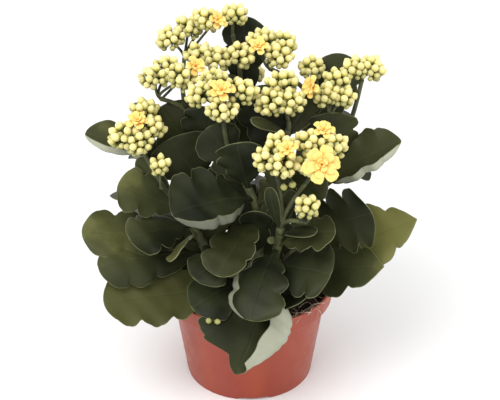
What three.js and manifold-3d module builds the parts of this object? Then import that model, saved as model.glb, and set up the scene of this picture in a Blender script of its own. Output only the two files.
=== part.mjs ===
// Potted kalanchoe in bud: a moulded plastic pot, its soil, eight leafy shoots, their flower heads
// and the first open blooms. Millimetres, +Z up, origin at the centre of the pot's underside, the
// plant's front towards -Y.
import * as THREE from "three";
import { mergeVertices } from "three/addons/utils/BufferGeometryUtils.js";
import Module from "manifold-3d";

const wasm = await Module();
wasm.setup();

// ---- Driving dimensions ----
const CLEARANCE = 0.3; // between two pieces that touch
const FINEST = 0.04;
const POT = {
  height: 75,
  rimTopRadius: 61,
  rimLowRadius: 60,
  rimHeight: 12,
  bodyTopRadius: 55.5,
  baseRadius: 46.3,
  wall: 1.7,
  skirt: 3, // the floor is raised this much between the outer foot and the middle pad
  padRadius: 22,
  sides: 30,
};
const DRAIN = { count: 6, radius: 3.5, circle: 33, sides: 6 };
const NOTCH = { count: 4, width: 24, height: 1.8, firstAngle: -86 };
const SOIL = { level: 66.5, bump: 1.4, sides: 18, rings: [0.84, 0.5] };
const STEM_HOLE = { spare: 0.7, share: 0.2, sides: 6 };
const STEM_SIDES = 5;
const STALK = { radius: 1.5, sides: 4 };
const LEAF = {
  thickness: 1.3,
  petioleThickness: 3,
  petioleHalfWidth: 2.1,
  petioleShare: 0.16,
  lobes: 3,
  notch: 0.36,
  taper: 0.42,
  rollFrom: 0.62, // a folded half is flat up to here,
  rollSpan: 0.13, // bends over this much, and then runs on straight
};
const BUD = {
  radius: 3.25,
  ringBuds: 5,
  spacing: 1.85, // in bud radii
  pedicel: 7.5,
  branch: 0.9,
};
const BLOOM = { petals: 5, petalThickness: 0.8, calyx: 3, stemRadius: 0.9 };

const COLOURS = {
  pot: { color: 0xb4513e, roughness: 0.45, metalness: 0 },
  soil: { color: 0x2b211c, roughness: 1, metalness: 0 },
  leaf: { color: 0x3f4a28, roughness: 0.5, metalness: 0 },
  bud: { color: 0xd9d287, roughness: 0.6, metalness: 0 },
  petal: { color: 0xf2c35a, roughness: 0.6, metalness: 0 },
};

// ---- Leafy shoots ----
// A shoot is a cubic curve from its hole in the soil to its fork. A leaf leaves it at the share "at" of
// its length and ends at "tip". "face" is where its upper side looks, "arch" lifts its midrib and "cup"
// its edges, rollLeft / rollRight fold one half up through that many radians, and "taper" sharpens its
// end. leftWidth and leftTaper make the left half wider or sharper than the right one. "notches" deepen
// the gaps between the left and the right lobes, and past the first number of "step" the right half keeps
// only the second one's share of its width.
const SHOOTS = {
  front: {
    path: [[10, -16, 52], [14, -24, 92], [19, -36, 118], [21, -45, 142]],
    radius: [4.2, 2.4],
    leaves: [
      {
        at: 0.33, tip: [-9, -93, 57], face: [0.25, -0.6, 0.75],
        width: 76, arch: 0.3, cup: 0.1, rollLeft: 2.6, rollFrom: 0.45, taper: 0.55,
        leftWidth: 1.22, leftTaper: 1.1, notches: [0.1, 0.6], step: [0.84, 0.34], lobes: 4,
      },
      { at: 0.4, tip: [-38, -70, 94], face: [-0.3, -0.6, 0.75], width: 38, arch: 0.2, cup: -0.1 },
      {
        at: 0.72, tip: [0, -90, 98], face: [-0.15, -0.6, 0.75],
        width: 53, arch: 0.22, cup: 0.2, rollRight: 2.2, rollFrom: 0.6, leftWidth: 0.79,
        notches: [1, 0.4],
      },
      { at: 0.5, tip: [54, -60, 114], face: [0.2, -0.7, 0.7], width: 43, arch: 0.15, cup: 0.1 },
      { at: 0.76, tip: [56, -60, 147], face: [0.1, -0.6, 0.8], width: 28, arch: 0.15, cup: 0.1 },
      {
        at: 0.9, tip: [43, -68, 151], face: [0.05, -0.5, 0.85],
        width: 11, arch: 0.1, cup: 0, lobes: 0,
      },
      {
        at: 0.96, tip: [13, -55, 177], face: [-0.3, -0.9, 0.2],
        width: 10, arch: 0.1, cup: 0, lobes: 0,
      },
      { at: 0.96, tip: [28, -41, 168], face: [0, -0.95, 0.1], width: 10, arch: 0.1, cup: 0, lobes: 0 },
      { at: 0.22, tip: [36, -58, 92], face: [0.3, -0.7, 0.7], width: 30, arch: 0.2, cup: 0 },
    ],
  },
  front_left: {
    path: [[-2, -15, 52], [6, -22, 100], [14, -28, 140], [-3, -23, 163]],
    radius: [3.8, 2.2],
    leaves: [
      {
        at: 0.86, tip: [-50, -62, 161], face: [-0.3, -0.65, 0.75],
        width: 58, arch: 0.16, cup: 0.12, rollLeft: 2.4, rollFrom: 0.7, taper: 0.6,
        notches: [0.5, 1],
      },
      { at: 0.68, tip: [-20, -78, 124], face: [-0.2, -0.5, 0.85], width: 36, arch: 0.2, cup: 0.22 },
      { at: 0.52, tip: [-36, -70, 117], face: [-0.4, -0.7, 0.6], width: 34, arch: 0.2, cup: -0.12 },
      { at: 0.92, tip: [-27, -14, 201], face: [-0.1, -0.95, 0.2], width: 34, arch: 0.05, cup: 0 },
      { at: 0.8, tip: [26, -36, 176], face: [-0.1, -0.95, 0.3], width: 28, arch: 0.05, cup: 0 },
      { at: 0.95, tip: [-8, -37, 200], face: [-0.1, -0.95, 0.3], width: 34, arch: 0.08, cup: 0 },
      {
        at: 0.42, tip: [4, -37, 150], face: [-0.1, -0.95, 0.3],
        width: 24, arch: 0.05, cup: 0, lobes: 2,
      },
      {
        at: 0.2, tip: [-98, -60, 92], face: [-0.1, -0.6, 0.8],
        width: 47, arch: 0.04, cup: 0.08, notches: [0.6, 0.6], lobes: 5,
      },
    ],
  },
  left: {
    path: [[-18, -4, 52], [-24, -6, 95], [-38, -14, 125], [-53, -18, 150]],
    radius: [4, 2.2],
    leaves: [
      { at: 0.36, tip: [-86, -24, 96], face: [-0.1, -0.5, 0.85], width: 28, arch: 0.15, cup: 0 },
      { at: 0.42, tip: [-102, -48, 113], face: [-0.05, -0.6, 0.8], width: 40, arch: 0.15, cup: -0.14 },
      {
        at: 0.6, tip: [-50, -60, 126], face: [-0.6, -0.3, 0.6],
        width: 18, arch: 0.15, cup: 0, lobes: 2,
      },
      { at: 0.52, tip: [-114, -30, 130], face: [-0.2, -0.55, 0.8], width: 38, arch: 0.06, cup: 0.1 },
      { at: 0.7, tip: [-80, -49, 136], face: [-0.1, -0.7, 0.7], width: 34, arch: 0.15, cup: -0.1 },
      { at: 0.84, tip: [-88, -26, 164], face: [-0.2, -0.7, 0.65], width: 34, arch: 0.12, cup: 0.1 },
      {
        at: 0.93, tip: [-75, -14, 178], face: [-0.5, -0.7, 0.5],
        width: 16, arch: 0.05, cup: 0, lobes: 2,
      },
    ],
  },
  back_left: {
    path: [[-10, 8, 52], [-22, 8, 110], [-30, 6, 160], [-42, 14, 196]],
    radius: [4.2, 2.2],
    leaves: [
      {
        at: 0.62, tip: [-112, 4, 188], face: [-0.3, -0.4, 0.85],
        width: 34, arch: 0.15, cup: 0.1, rollLeft: 2,
      },
      { at: 0.55, tip: [-54, -5, 188], face: [-0.1, -0.95, 0.3], width: 46, arch: 0.1, cup: 0 },
      { at: 0.68, tip: [-60, 14, 204], face: [-0.1, -0.9, 0.35], width: 40, arch: 0.05, cup: 0 },
      { at: 0.7, tip: [-26, 4, 207], face: [-0.1, -0.95, 0.3], width: 40, arch: 0.05, cup: 0 },
      { at: 0.3, tip: [-92, 44, 104], face: [-0.3, 0.3, 0.9], width: 44, arch: 0.25, cup: 0 },
      {
        at: 0.14, tip: [-43, -3, 124], face: [-0.1, -0.95, 0.3],
        width: 50, arch: 0.05, cup: 0, lobes: 2,
      },
      { at: 0.42, tip: [-100, 24, 130], face: [-0.3, 0.2, 0.9], width: 38, arch: 0.2, cup: 0 },
      { at: 0.52, tip: [-84, 60, 148], face: [-0.3, 0.4, 0.85], width: 40, arch: 0.2, cup: 0 },
      { at: 0.78, tip: [-80, 52, 190], face: [-0.2, 0.4, 0.9], width: 32, arch: 0.15, cup: 0 },
    ],
  },
  centre: {
    path: [[2, -1, 52], [4, -4, 120], [14, -6, 160], [26, -8, 196]],
    radius: [4, 2],
    leaves: [
      {
        at: 0.97, tip: [1, -30, 212], face: [-0.2, -0.6, 0.75],
        width: 10, arch: 0.1, cup: 0, lobes: 0,
      },
      { at: 0.93, tip: [44, 8, 214], face: [-0.1, -0.9, 0.4], width: 20, arch: 0.05, cup: 0, lobes: 2 },
      { at: 0.6, tip: [50, -32, 176], face: [-0.1, -0.95, 0.3], width: 36, arch: 0.1, cup: 0 },
      { at: 0.74, tip: [6, 14, 219], face: [-0.1, -0.95, 0.3], width: 38, arch: 0.05, cup: 0 },
      { at: 0.5, tip: [30, -22, 150], face: [0.1, -0.9, 0.4], width: 34, arch: 0.1, cup: 0 },
      { at: 0.36, tip: [-29, -17, 170], face: [-0.1, -0.9, 0.4], width: 48, arch: 0.05, cup: 0 },
      { at: 0.16, tip: [27, -10, 126], face: [0, -0.95, 0.3], width: 34, arch: 0.05, cup: 0, lobes: 2 },
    ],
  },
  right: {
    path: [[18, -4, 52], [26, -8, 100], [48, -6, 140], [66, 9, 184]],
    radius: [4.2, 2.2],
    leaves: [
      {
        at: 0.22, tip: [91, -46, 112], face: [0.1, -0.7, 0.7],
        width: 44, arch: 0.08, cup: 0.1, taper: 0.9,
      },
      {
        at: 0.27, tip: [113, -32, 141], face: [0.05, -0.7, 0.7],
        width: 48, arch: -0.06, cup: 0.1, taper: 0.9, lobes: 4,
      },
      {
        at: 0.5, tip: [81, -44, 152], face: [0.1, -0.9, 0.35],
        width: 50, arch: 0.12, cup: 0.08, lobes: 4,
      },
      {
        at: 0.72, tip: [101, -16, 192], face: [0.1, -0.45, 0.85],
        width: 42, arch: 0.12, cup: 0.1, rollRight: 1.9, taper: 0.7,
      },
      { at: 0.8, tip: [56, -2, 206], face: [0.1, -0.85, 0.4], width: 40, arch: 0.05, cup: 0 },
      { at: 0.36, tip: [98, 16, 112], face: [0.3, 0.1, 0.9], width: 40, arch: 0.2, cup: 0 },
    ],
  },
  back_right: {
    path: [[14, 12, 52], [26, 14, 120], [36, 18, 165], [42, 26, 196]],
    radius: [4.2, 2.2],
    leaves: [
      { at: 0.72, tip: [69, 44, 229], face: [0.1, -0.9, 0.4], width: 36, arch: 0.05, cup: 0 },
      { at: 0.28, tip: [84, 56, 100], face: [0.3, 0.3, 0.9], width: 44, arch: 0.25, cup: 0 },
      { at: 0.46, tip: [86, 54, 136], face: [0.3, 0.2, 0.9], width: 38, arch: 0.2, cup: 0 },
      { at: 0.58, tip: [76, 66, 154], face: [0.3, 0.5, 0.8], width: 38, arch: 0.2, cup: 0 },
      { at: 0.78, tip: [66, 74, 176], face: [0.3, 0.4, 0.9], width: 32, arch: 0.15, cup: 0 },
      { at: 0.2, tip: [-12, 15, 130], face: [-0.1, -0.95, 0.3], width: 46, arch: 0.05, cup: 0 },
      {
        at: 0.5, tip: [-5, 21, 198], face: [-0.1, -0.95, 0.3],
        width: 42, arch: 0.05, cup: 0, lobes: 2,
      },
    ],
  },
  back: {
    path: [[0, 20, 52], [-2, 28, 120], [-5, 38, 170], [-6, 44, 206]],
    radius: [4.2, 2.2],
    leaves: [
      { at: 0.82, tip: [-3, 60, 252], face: [0, -0.9, 0.4], width: 34, arch: 0.05, cup: 0 },
      { at: 0.28, tip: [-38, 92, 96], face: [-0.2, 0.5, 0.8], width: 46, arch: 0.25, cup: 0 },
      { at: 0.34, tip: [36, 96, 102], face: [0.2, 0.5, 0.8], width: 46, arch: 0.25, cup: 0 },
      { at: 0.5, tip: [-4, 100, 132], face: [0, 0.5, 0.85], width: 44, arch: 0.2, cup: 0 },
      { at: 0.62, tip: [-52, 86, 158], face: [-0.3, 0.5, 0.8], width: 38, arch: 0.2, cup: 0 },
      { at: 0.66, tip: [44, 90, 166], face: [0.3, 0.5, 0.8], width: 38, arch: 0.2, cup: 0 },
      { at: 0.84, tip: [-30, 84, 200], face: [-0.2, 0.5, 0.8], width: 30, arch: 0.15, cup: 0 },
    ],
  },
};

// ---- Flower heads ----
// "base" is the top of the green stalk that carries the head from its shoot's fork, "centre" the middle
// of its bud layer, and "bunches" the places of its small bud bunches from the centre.
const HEADS = {
  front: {
    shoot: "front", base: [18, -50, 181], centre: [17, -51, 203],
    bunches: [[-6, -5, -2], [3, 5, 4], [5, -9, -4]],
  },
  front_right: {
    shoot: "front", base: [36, -50, 177], centre: [50, -50, 199],
    bunches: [[-12, 4, 10], [5, 4, 8], [-10, -6, -2]],
  },
  front_low: { shoot: "front", base: [33, -57, 153], centre: [39, -61, 168], bunches: [[-2, 0, 2]] },
  middle: {
    shoot: "front_left", base: [-17, -18, 206], centre: [-18, -15, 222],
    bunches: [[-16, 2, 5], [0, -10, 0], [15, 3, 8], [-7, 14, 10]],
  },
  left: {
    shoot: "left", base: [-71, -14, 182], centre: [-77, -10, 201],
    bunches: [[-10, -4, -3], [3, -9, -6], [13, 4, 0], [7, 14, 8]],
  },
  left_low: { shoot: "left", base: [-58, -27, 162], centre: [-59, -31, 173], bunches: [[0, 0, 12]] },
  far_left: {
    shoot: "back_left", base: [-54, 12, 208], centre: [-57, 14, 231],
    bunches: [[-7, -4, -1], [3, 6, 2], [14, -8, 0]],
  },
  top_left: {
    shoot: "back_left", base: [-46, 42, 222], centre: [-48, 50, 246],
    bunches: [[-8, -6, -1], [6, 2, 5], [20, -2, 11]],
  },
  centre: {
    shoot: "centre", base: [26, -7, 202], centre: [24, -4, 223],
    bunches: [[-12, -8, -2], [3, -8, -2], [-2, 6, 7]],
  },
  right: {
    shoot: "right", base: [60, 4, 198], centre: [59, 4, 220],
    bunches: [[-9, -6, 2], [4, -2, 0], [0, 6, 9]],
  },
  far_right: {
    shoot: "right", base: [75, 14, 217], centre: [78, 17, 236],
    bunches: [[-8, -3, -1], [6, 0, -2]],
  },
  top_right: {
    shoot: "back_right", base: [20, 30, 222], centre: [16, 31, 244],
    bunches: [[-8, 7, 3], [8, 3, 2], [5, -9, -4]],
  },
  back_right: {
    shoot: "back_right", base: [45, 30, 208], centre: [45, 32, 228],
    bunches: [[-3, -2, 1]],
  },
  middle_left: {
    shoot: "back", base: [-22, 36, 216], centre: [-24, 29, 235],
    bunches: [[-12, 3, 3], [3, -3, 2], [20, -4, 4]],
  },
  top: { shoot: "back", base: [-10, 48, 236], centre: [-11, 51, 258], bunches: [[1, 0, 2.5]] },
  rear: { shoot: "back", base: [0, 66, 186], centre: [2, 78, 204], bunches: [[-2, 1, 2]] },
};

// ---- Open blooms ----
// Each stands on a stem of its head: "size" is a petal's length, and "inner" the petals of a second,
// steeper whorl.
const BLOOMS = {
  front_large: {
    head: "front_right", centre: [45, -71, 201], facing: [-0.1, -0.85, 0.45],
    size: 12, inner: 4,
  },
  front_top: { head: "front_right", centre: [47, -46, 213], facing: [0.1, -0.5, 0.85], size: 7 },
  front_left: { head: "front", centre: [24, -60, 206], facing: [-0.2, -0.6, 0.8], size: 6.5 },
  left: { head: "left", centre: [-74, -12, 204], facing: [0, -0.4, 0.9], size: 8 },
  middle: { head: "middle", centre: [-18, -20, 229], facing: [0.1, -0.5, 0.85], size: 8.5 },
  far_left: { head: "far_left", centre: [-36, 8, 235], facing: [0.5, -0.6, 0.6], size: 7 },
  top_left: { head: "top_left", centre: [-22, 43, 255], facing: [0.5, -0.6, 0.6], size: 7 },
  top_right: { head: "top_right", centre: [6, 24, 243], facing: [0, -0.6, 0.8], size: 7 },
  right: { head: "right", centre: [41, -6, 226], facing: [-0.7, -0.6, 0.3], size: 7.5 },
};

const vec = (p) => new THREE.Vector3(...p);
const { lerp, smoothstep, clamp } = THREE.MathUtils;

// ---- Solids ----
// A closed geometry as a manifold solid: shared vertices merged, collapsed triangles dropped.
function solidOf(geometry) {
  const bare = geometry.clone();
  bare.deleteAttribute("normal");
  bare.deleteAttribute("uv");
  const merged = mergeVertices(bare, 1e-3);
  const index = merged.index.array;
  const kept = [];
  for (let i = 0; i < index.length; i += 3) {
    const [a, b, c] = index.slice(i, i + 3);
    if (a !== b && b !== c && c !== a) kept.push(a, b, c);
  }
  return new wasm.Manifold(
    new wasm.Mesh({
      numProp: 3,
      vertProperties: merged.attributes.position.array,
      triVerts: new Uint32Array(kept),
    }),
  );
}

// The solid's triangles as a geometry that three.js can draw.
function geometryOf(solid) {
  const mesh = solid.getMesh();
  const geometry = new THREE.BufferGeometry();
  geometry.setAttribute("position", new THREE.BufferAttribute(new Float32Array(mesh.vertProperties), 3));
  geometry.setIndex(new THREE.BufferAttribute(new Uint32Array(mesh.triVerts), 1));
  const flat = geometry.toNonIndexed();
  flat.computeVertexNormals();
  return flat;
}

// One body from solids that run into each other, without the empty scraps and the edges shorter than
// "FINEST" that a union can leave.
function joined(solids) {
  const bodies = solids.reduce((sum, next) => sum.add(next)).decompose();
  const body = bodies.reduce((largest, next) => (next.volume() > largest.volume() ? next : largest));
  return body.simplify(FINEST);
}

// A geometry from rings of equal length and extra end faces given by vertex numbers.
function skin(rings, splitAlike, endFaces) {
  const around = rings[0].length;
  const index = [];
  for (let i = 0; i + 1 < rings.length; i++) {
    for (let j = 0; j < around; j++) {
      const next = (j + 1) % around;
      const [a, b] = [i * around + j, i * around + next];
      const [c, d] = [a + around, b + around];
      if (splitAlike && j >= around / 2) index.push(a, b, c, b, d, c);
      else index.push(a, b, d, a, d, c);
    }
  }
  const geometry = new THREE.BufferGeometry();
  const position = rings.flat().flatMap((p) => [p.x, p.y, p.z]);
  geometry.setAttribute("position", new THREE.Float32BufferAttribute(position, 3));
  geometry.setIndex([...index, ...endFaces]);
  return geometry;
}

// A skin over round sections, closed at each end by a fan.
function tube(rings) {
  const around = rings[0].length;
  const last = (rings.length - 1) * around;
  const ends = [];
  for (let k = 1; k + 1 < around; k++) {
    ends.push(0, k + 1, k);
    ends.push(last, last + k, last + k + 1);
  }
  return skin(rings, false, ends);
}

// A skin over flat sections, which run over the upper face and back under the lower one. Both faces are
// split into triangles alike, so they never cross.
function blade(rings) {
  const around = rings[0].length;
  const last = (rings.length - 1) * around;
  const ends = [];
  for (let k = 0; k + 1 < around / 2; k++) {
    const [p, q, r, s] = [k, k + 1, around - 2 - k, around - 1 - k];
    ends.push(p, s, r, p, r, q);
    ends.push(last + p, last + r, last + s, last + p, last + q, last + r);
  }
  return skin(rings, true, ends);
}

// A skin over round sections that closes to a point at each end.
function spindle(foot, rings, tip) {
  const around = rings[0].length;
  const last = (rings.length - 1) * around;
  const footIndex = rings.length * around;
  const ends = [];
  for (let k = 0; k < around; k++) {
    const next = (k + 1) % around;
    ends.push(footIndex, next, k);
    ends.push(footIndex + 1, last + k, last + next);
  }
  const geometry = skin(rings, false, ends);
  const position = [...geometry.attributes.position.array, foot.x, foot.y, foot.z, tip.x, tip.y, tip.z];
  geometry.setAttribute("position", new THREE.Float32BufferAttribute(position, 3));
  return geometry;
}

// Two directions square to the given one and to each other.
function squareTo(direction) {
  const helper = Math.abs(direction.y) < 0.9 ? new THREE.Vector3(0, 1, 0) : new THREE.Vector3(1, 0, 0);
  const across = helper.cross(direction).normalize();
  return [across, direction.clone().cross(across)];
}

function ringAround(centre, across, third, radius, sides) {
  return Array.from({ length: sides }, (_, j) => {
    const angle = (2 * Math.PI * j) / sides;
    return centre
      .clone()
      .addScaledVector(across, radius * Math.cos(angle))
      .addScaledVector(third, radius * Math.sin(angle));
  });
}

// A tapering stalk along a curve, with its ends cut square.
function stalk(curve, startRadius, endRadius, sides, steps) {
  const rings = [];
  for (let i = 0; i <= steps; i++) {
    const t = i / steps;
    const [across, third] = squareTo(curve.getTangent(t));
    rings.push(ringAround(curve.getPoint(t), across, third, lerp(startRadius, endRadius, t), sides));
  }
  return solidOf(tube(rings));
}

function bezier(points) {
  return new THREE.CubicBezierCurve3(...points.map(vec));
}

// ---- Leaves ----
// Half-width along the blade as a share of its greatest: a narrow foot and a broad round end.
function outline(share, taper) {
  const [rise, fall] = [0.85, taper];
  const widest = rise / (rise + fall);
  return (share / widest) ** rise * (Math.max(0, 1 - share) / (1 - widest)) ** fall;
}

// The scalloped edge: round lobes with a sharp notch between each two, of the depth asked for.
function scallop(share, lobes, deepen) {
  if (!lobes) return 1;
  const wave = Math.sqrt(Math.abs(Math.sin(Math.PI * lobes * share)));
  return 1 - deepen * LEAF.notch * smoothstep(share, 0.1, 0.4) * (1 - wave);
}

// The leaf's curved midrib and its fixed sideways direction.
function leafFrame(root, leaf) {
  const tip = vec(leaf.tip);
  const chord = tip.clone().sub(root);
  const length = chord.length();
  chord.divideScalar(length);
  const face = vec(leaf.face);
  face.addScaledVector(chord, -face.dot(chord)).normalize();
  const bow = root.clone().add(tip).multiplyScalar(0.5).addScaledVector(face, leaf.arch * length);
  return {
    midrib: new THREE.QuadraticBezierCurve3(root, bow, tip),
    side: chord.clone().cross(face).normalize(),
  };
}

// The cross-section: how far out and up a point lies, for a half-width of 1, and the way it faces.
// A half that folds follows an arc from "from" outwards and then runs on straight.
function section(v, cup, roll, from) {
  const reach = Math.abs(v);
  const flat = Math.min(reach, roll ? from : 1);
  if (reach === flat) return { out: flat, up: cup * flat * flat, turn: 0 };
  const arc = Math.min(reach - flat, LEAF.rollSpan);
  const run = reach - flat - arc;
  const bend = roll / LEAF.rollSpan;
  const turn = bend * arc;
  const out = flat + Math.sin(turn) / bend + run * Math.cos(turn);
  const up = cup * flat * flat + (1 - Math.cos(turn)) / bend + run * Math.sin(turn);
  return { out, up, turn };
}

// The ring of points round the blade at the share u of its length.
function leafRing(frame, leaf, u, columns) {
  const lobes = leaf.lobes ?? LEAF.lobes;
  const scale = lobes ? 1 : 0.7;
  const share = clamp((u - LEAF.petioleShare) / (1 - LEAF.petioleShare), 0, 1);
  const taper = leaf.taper ?? LEAF.taper;
  const from = leaf.rollFrom ?? LEAF.rollFrom;
  const side = (sideTaper, widen, deepen) => {
    const full = outline(share, sideTaper);
    const foot = LEAF.petioleHalfWidth * scale * (1 - full) * (1 - share);
    const wave = scallop(share, lobes, deepen);
    return { full, halfWidth: foot + ((widen * leaf.width) / 2) * full * wave };
  };
  const [place, kept] = leaf.step ?? [1, 1];
  const narrow = lerp(1, kept, smoothstep(share, place - 0.02, place + 0.02));
  const left = side(leaf.leftTaper ?? taper, leaf.leftWidth ?? 1, leaf.notches?.[0] ?? 1);
  const right = side(taper, narrow, leaf.notches?.[1] ?? 1);
  const thickness = scale * lerp(LEAF.petioleThickness, LEAF.thickness, Math.min(1, u / 0.3));
  const centre = frame.midrib.getPoint(u);
  const normal = frame.side.clone().cross(frame.midrib.getTangent(u));
  const upper = [];
  const lower = [];
  for (const v of columns) {
    const { full, halfWidth } = v < 0 ? left : right;
    const roll = ((v < 0 ? leaf.rollLeft : leaf.rollRight) ?? 0) * Math.min(1, 3 * full);
    const { out, up, turn } = section(v, leaf.cup, roll, from);
    const tilt = turn + Math.atan(2 * leaf.cup * Math.min(Math.abs(v), from));
    const facing = normal
      .clone()
      .multiplyScalar(Math.cos(tilt))
      .addScaledVector(frame.side, -Math.sign(v) * Math.sin(tilt));
    const point = centre
      .clone()
      .addScaledVector(frame.side, Math.sign(v) * out * halfWidth)
      .addScaledVector(normal, up * halfWidth);
    upper.push(point.clone().addScaledVector(facing, thickness / 2));
    lower.push(point.addScaledVector(facing, -thickness / 2));
  }
  return [...upper, ...lower.reverse()];
}

function leafSolid(root, leaf) {
  const frame = leafFrame(root, leaf);
  const columns = leaf.cup ? [-1, 0, 1] : [-1, 1];
  const from = leaf.rollFrom ?? LEAF.rollFrom;
  const folds = [from, from + LEAF.rollSpan];
  if (leaf.rollLeft) columns.splice(1, 0, -folds[1], -folds[0]);
  if (leaf.rollRight) columns.splice(-1, 0, ...folds);
  const steps = 2 * Math.max(leaf.lobes ?? LEAF.lobes, 2);
  const shares = [0, LEAF.petioleShare];
  for (let i = 1; i < steps; i++) shares.push(lerp(LEAF.petioleShare, 1, i / steps));
  if (leaf.step) {
    for (const edge of [-0.02, 0.02]) shares.push(lerp(LEAF.petioleShare, 1, leaf.step[0] + edge));
    shares.sort((a, b) => a - b);
  }
  if (steps > 6) shares.push(0.98, 0.9995);
  else shares.push(0.99);
  return solidOf(blade(shares.map((u) => leafRing(frame, leaf, u, columns))));
}

// ---- Shoots ----
// The stalk's curve from the shoot's fork to the base of a head.
function headStalk(head) {
  const shoot = bezier(SHOOTS[head.shoot].path);
  const fork = shoot.getPoint(1);
  const base = vec(head.base);
  const bend = fork.clone().addScaledVector(shoot.getTangent(1), 0.45 * fork.distanceTo(base));
  return new THREE.QuadraticBezierCurve3(fork, bend, base);
}

function shootSolid(name, shoot) {
  const curve = bezier(shoot.path);
  const [startRadius, endRadius] = shoot.radius;
  const parts = [stalk(curve, startRadius, endRadius, STEM_SIDES, 5)];
  for (const leaf of shoot.leaves) parts.push(leafSolid(curve.getPoint(leaf.at), leaf));
  for (const head of Object.values(HEADS)) {
    if (head.shoot !== name) continue;
    parts.push(stalk(headStalk(head), STALK.radius + 0.3, STALK.radius, STALK.sides, 2));
  }
  return joined(parts);
}

// ---- Flower heads ----
// A repeatable draw between 0 and 1 for each number.
function draw(seed) {
  const value = Math.sin(seed * 127.1 + 311.7) * 43758.5453;
  return value - Math.floor(value);
}

// A bunch of buds on its branch, raised from one small dome: the largest in the middle and a ring round
// it. Each bud rises from a loop of low points, which it shares with its neighbours, over a belly to a
// point.
function bunchSolid(start, place, outward, seed) {
  const [across, third] = squareTo(outward);
  const count = BUD.ringBuds;
  const radius = BUD.radius * (0.92 + 0.16 * draw(seed));
  const spin = 2 * Math.PI * draw(seed + 0.4);
  const around = (turn, reach, height) => {
    const angle = spin + (2 * Math.PI * turn) / count;
    return place
      .clone()
      .addScaledVector(across, reach * radius * Math.cos(angle))
      .addScaledVector(third, reach * radius * Math.sin(angle))
      .addScaledVector(outward, height * radius);
  };
  const inner = Array.from({ length: count }, (_, k) => around(k + 0.5, 0.62 * BUD.spacing, -1.3));
  const between = Array.from({ length: count }, (_, k) => around(k + 0.5, 1.15 * BUD.spacing, -1.4));
  const outer = Array.from({ length: count }, (_, k) => around(k, BUD.spacing + 0.6, -1.6));
  const points = [...inner, ...between, ...outer];
  const [innerAt, betweenAt, outerAt] = [0, count, 2 * count];
  const faces = [];
  const addBud = (centre, axis, size, loop) => {
    const belly = points.length;
    for (const low of loop) {
      const away = points[low].clone().sub(centre);
      away.addScaledVector(axis, -away.dot(axis)).setLength(0.9 * size);
      points.push(away.add(centre).addScaledVector(axis, 0.2 * size));
    }
    const tip = points.push(centre.clone().addScaledVector(axis, 1.1 * size)) - 1;
    loop.forEach((low, i) => {
      const next = (i + 1) % loop.length;
      faces.push(low, loop[next], belly + next);
      faces.push(low, belly + next, belly + i);
      faces.push(belly + i, belly + next, tip);
    });
  };
  addBud(around(0, 0, 0.5), outward, radius, inner.map((_, k) => innerAt + k));
  for (let k = 0; k < count; k++) {
    const before = (k + count - 1) % count;
    const centre = around(k, BUD.spacing, -0.4 - 0.3 * draw(seed + k));
    const axis = centre.clone().sub(place).normalize().multiplyScalar(0.7).add(outward).normalize();
    const loop = [innerAt + before, betweenAt + before, outerAt + k, betweenAt + k, innerAt + k];
    addBud(centre, axis, radius * (0.8 + 0.15 * draw(seed + k + 0.5)), loop);
  }
  const neck = place.clone().addScaledVector(outward, -BUD.pedicel);
  const collarAt = points.length;
  const startAt = collarAt + count;
  for (const middle of [neck, start]) {
    for (let k = 0; k < count; k++) points.push(around(k, BUD.branch / radius, 0).sub(place).add(middle));
  }
  for (let k = 0; k < count; k++) {
    const [before, next] = [(k + count - 1) % count, (k + 1) % count];
    faces.push(collarAt + k, outerAt + k, betweenAt + before, collarAt + k, betweenAt + k, outerAt + k);
    faces.push(betweenAt + k, collarAt + k, collarAt + next);
    faces.push(collarAt + next, collarAt + k, startAt + k, collarAt + next, startAt + k, startAt + next);
    if (k > 0 && next > 0) faces.push(startAt, startAt + next, startAt + k);
  }
  const geometry = new THREE.BufferGeometry();
  const position = points.flatMap((p) => [p.x, p.y, p.z]);
  geometry.setAttribute("position", new THREE.Float32BufferAttribute(position, 3));
  geometry.setIndex(faces);
  return solidOf(geometry);
}

function headSolid(name, head, seed) {
  const upwards = headStalk(head).getTangent(1);
  const root = vec(head.base).addScaledVector(upwards, CLEARANCE);
  const fork = root.clone().addScaledVector(upwards, 0.3 * root.distanceTo(vec(head.centre)));
  const parts = [stalk(new THREE.LineCurve3(root, fork), STALK.radius, STALK.radius, STALK.sides, 1)];
  for (const bloom of Object.values(BLOOMS)) {
    if (bloom.head !== name) continue;
    const facing = vec(bloom.facing).normalize();
    const seat = vec(bloom.centre).addScaledVector(facing, -BLOOM.calyx - CLEARANCE);
    const start = fork.clone().addScaledVector(upwards, -0.8);
    const stem = new THREE.QuadraticBezierCurve3(start, seat.clone().addScaledVector(facing, -6), seat);
    parts.push(stalk(stem, BLOOM.stemRadius, BLOOM.stemRadius, 3, 1));
  }
  head.bunches.forEach((offset, i) => {
    const place = vec(head.centre).add(vec(offset));
    const outward = place.clone().sub(fork).normalize().lerp(new THREE.Vector3(0, 0, 1), 0.3).normalize();
    parts.push(bunchSolid(fork.clone().addScaledVector(upwards, -0.8), place, outward, 10 * seed + i));
  });
  return joined(parts);
}

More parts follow.
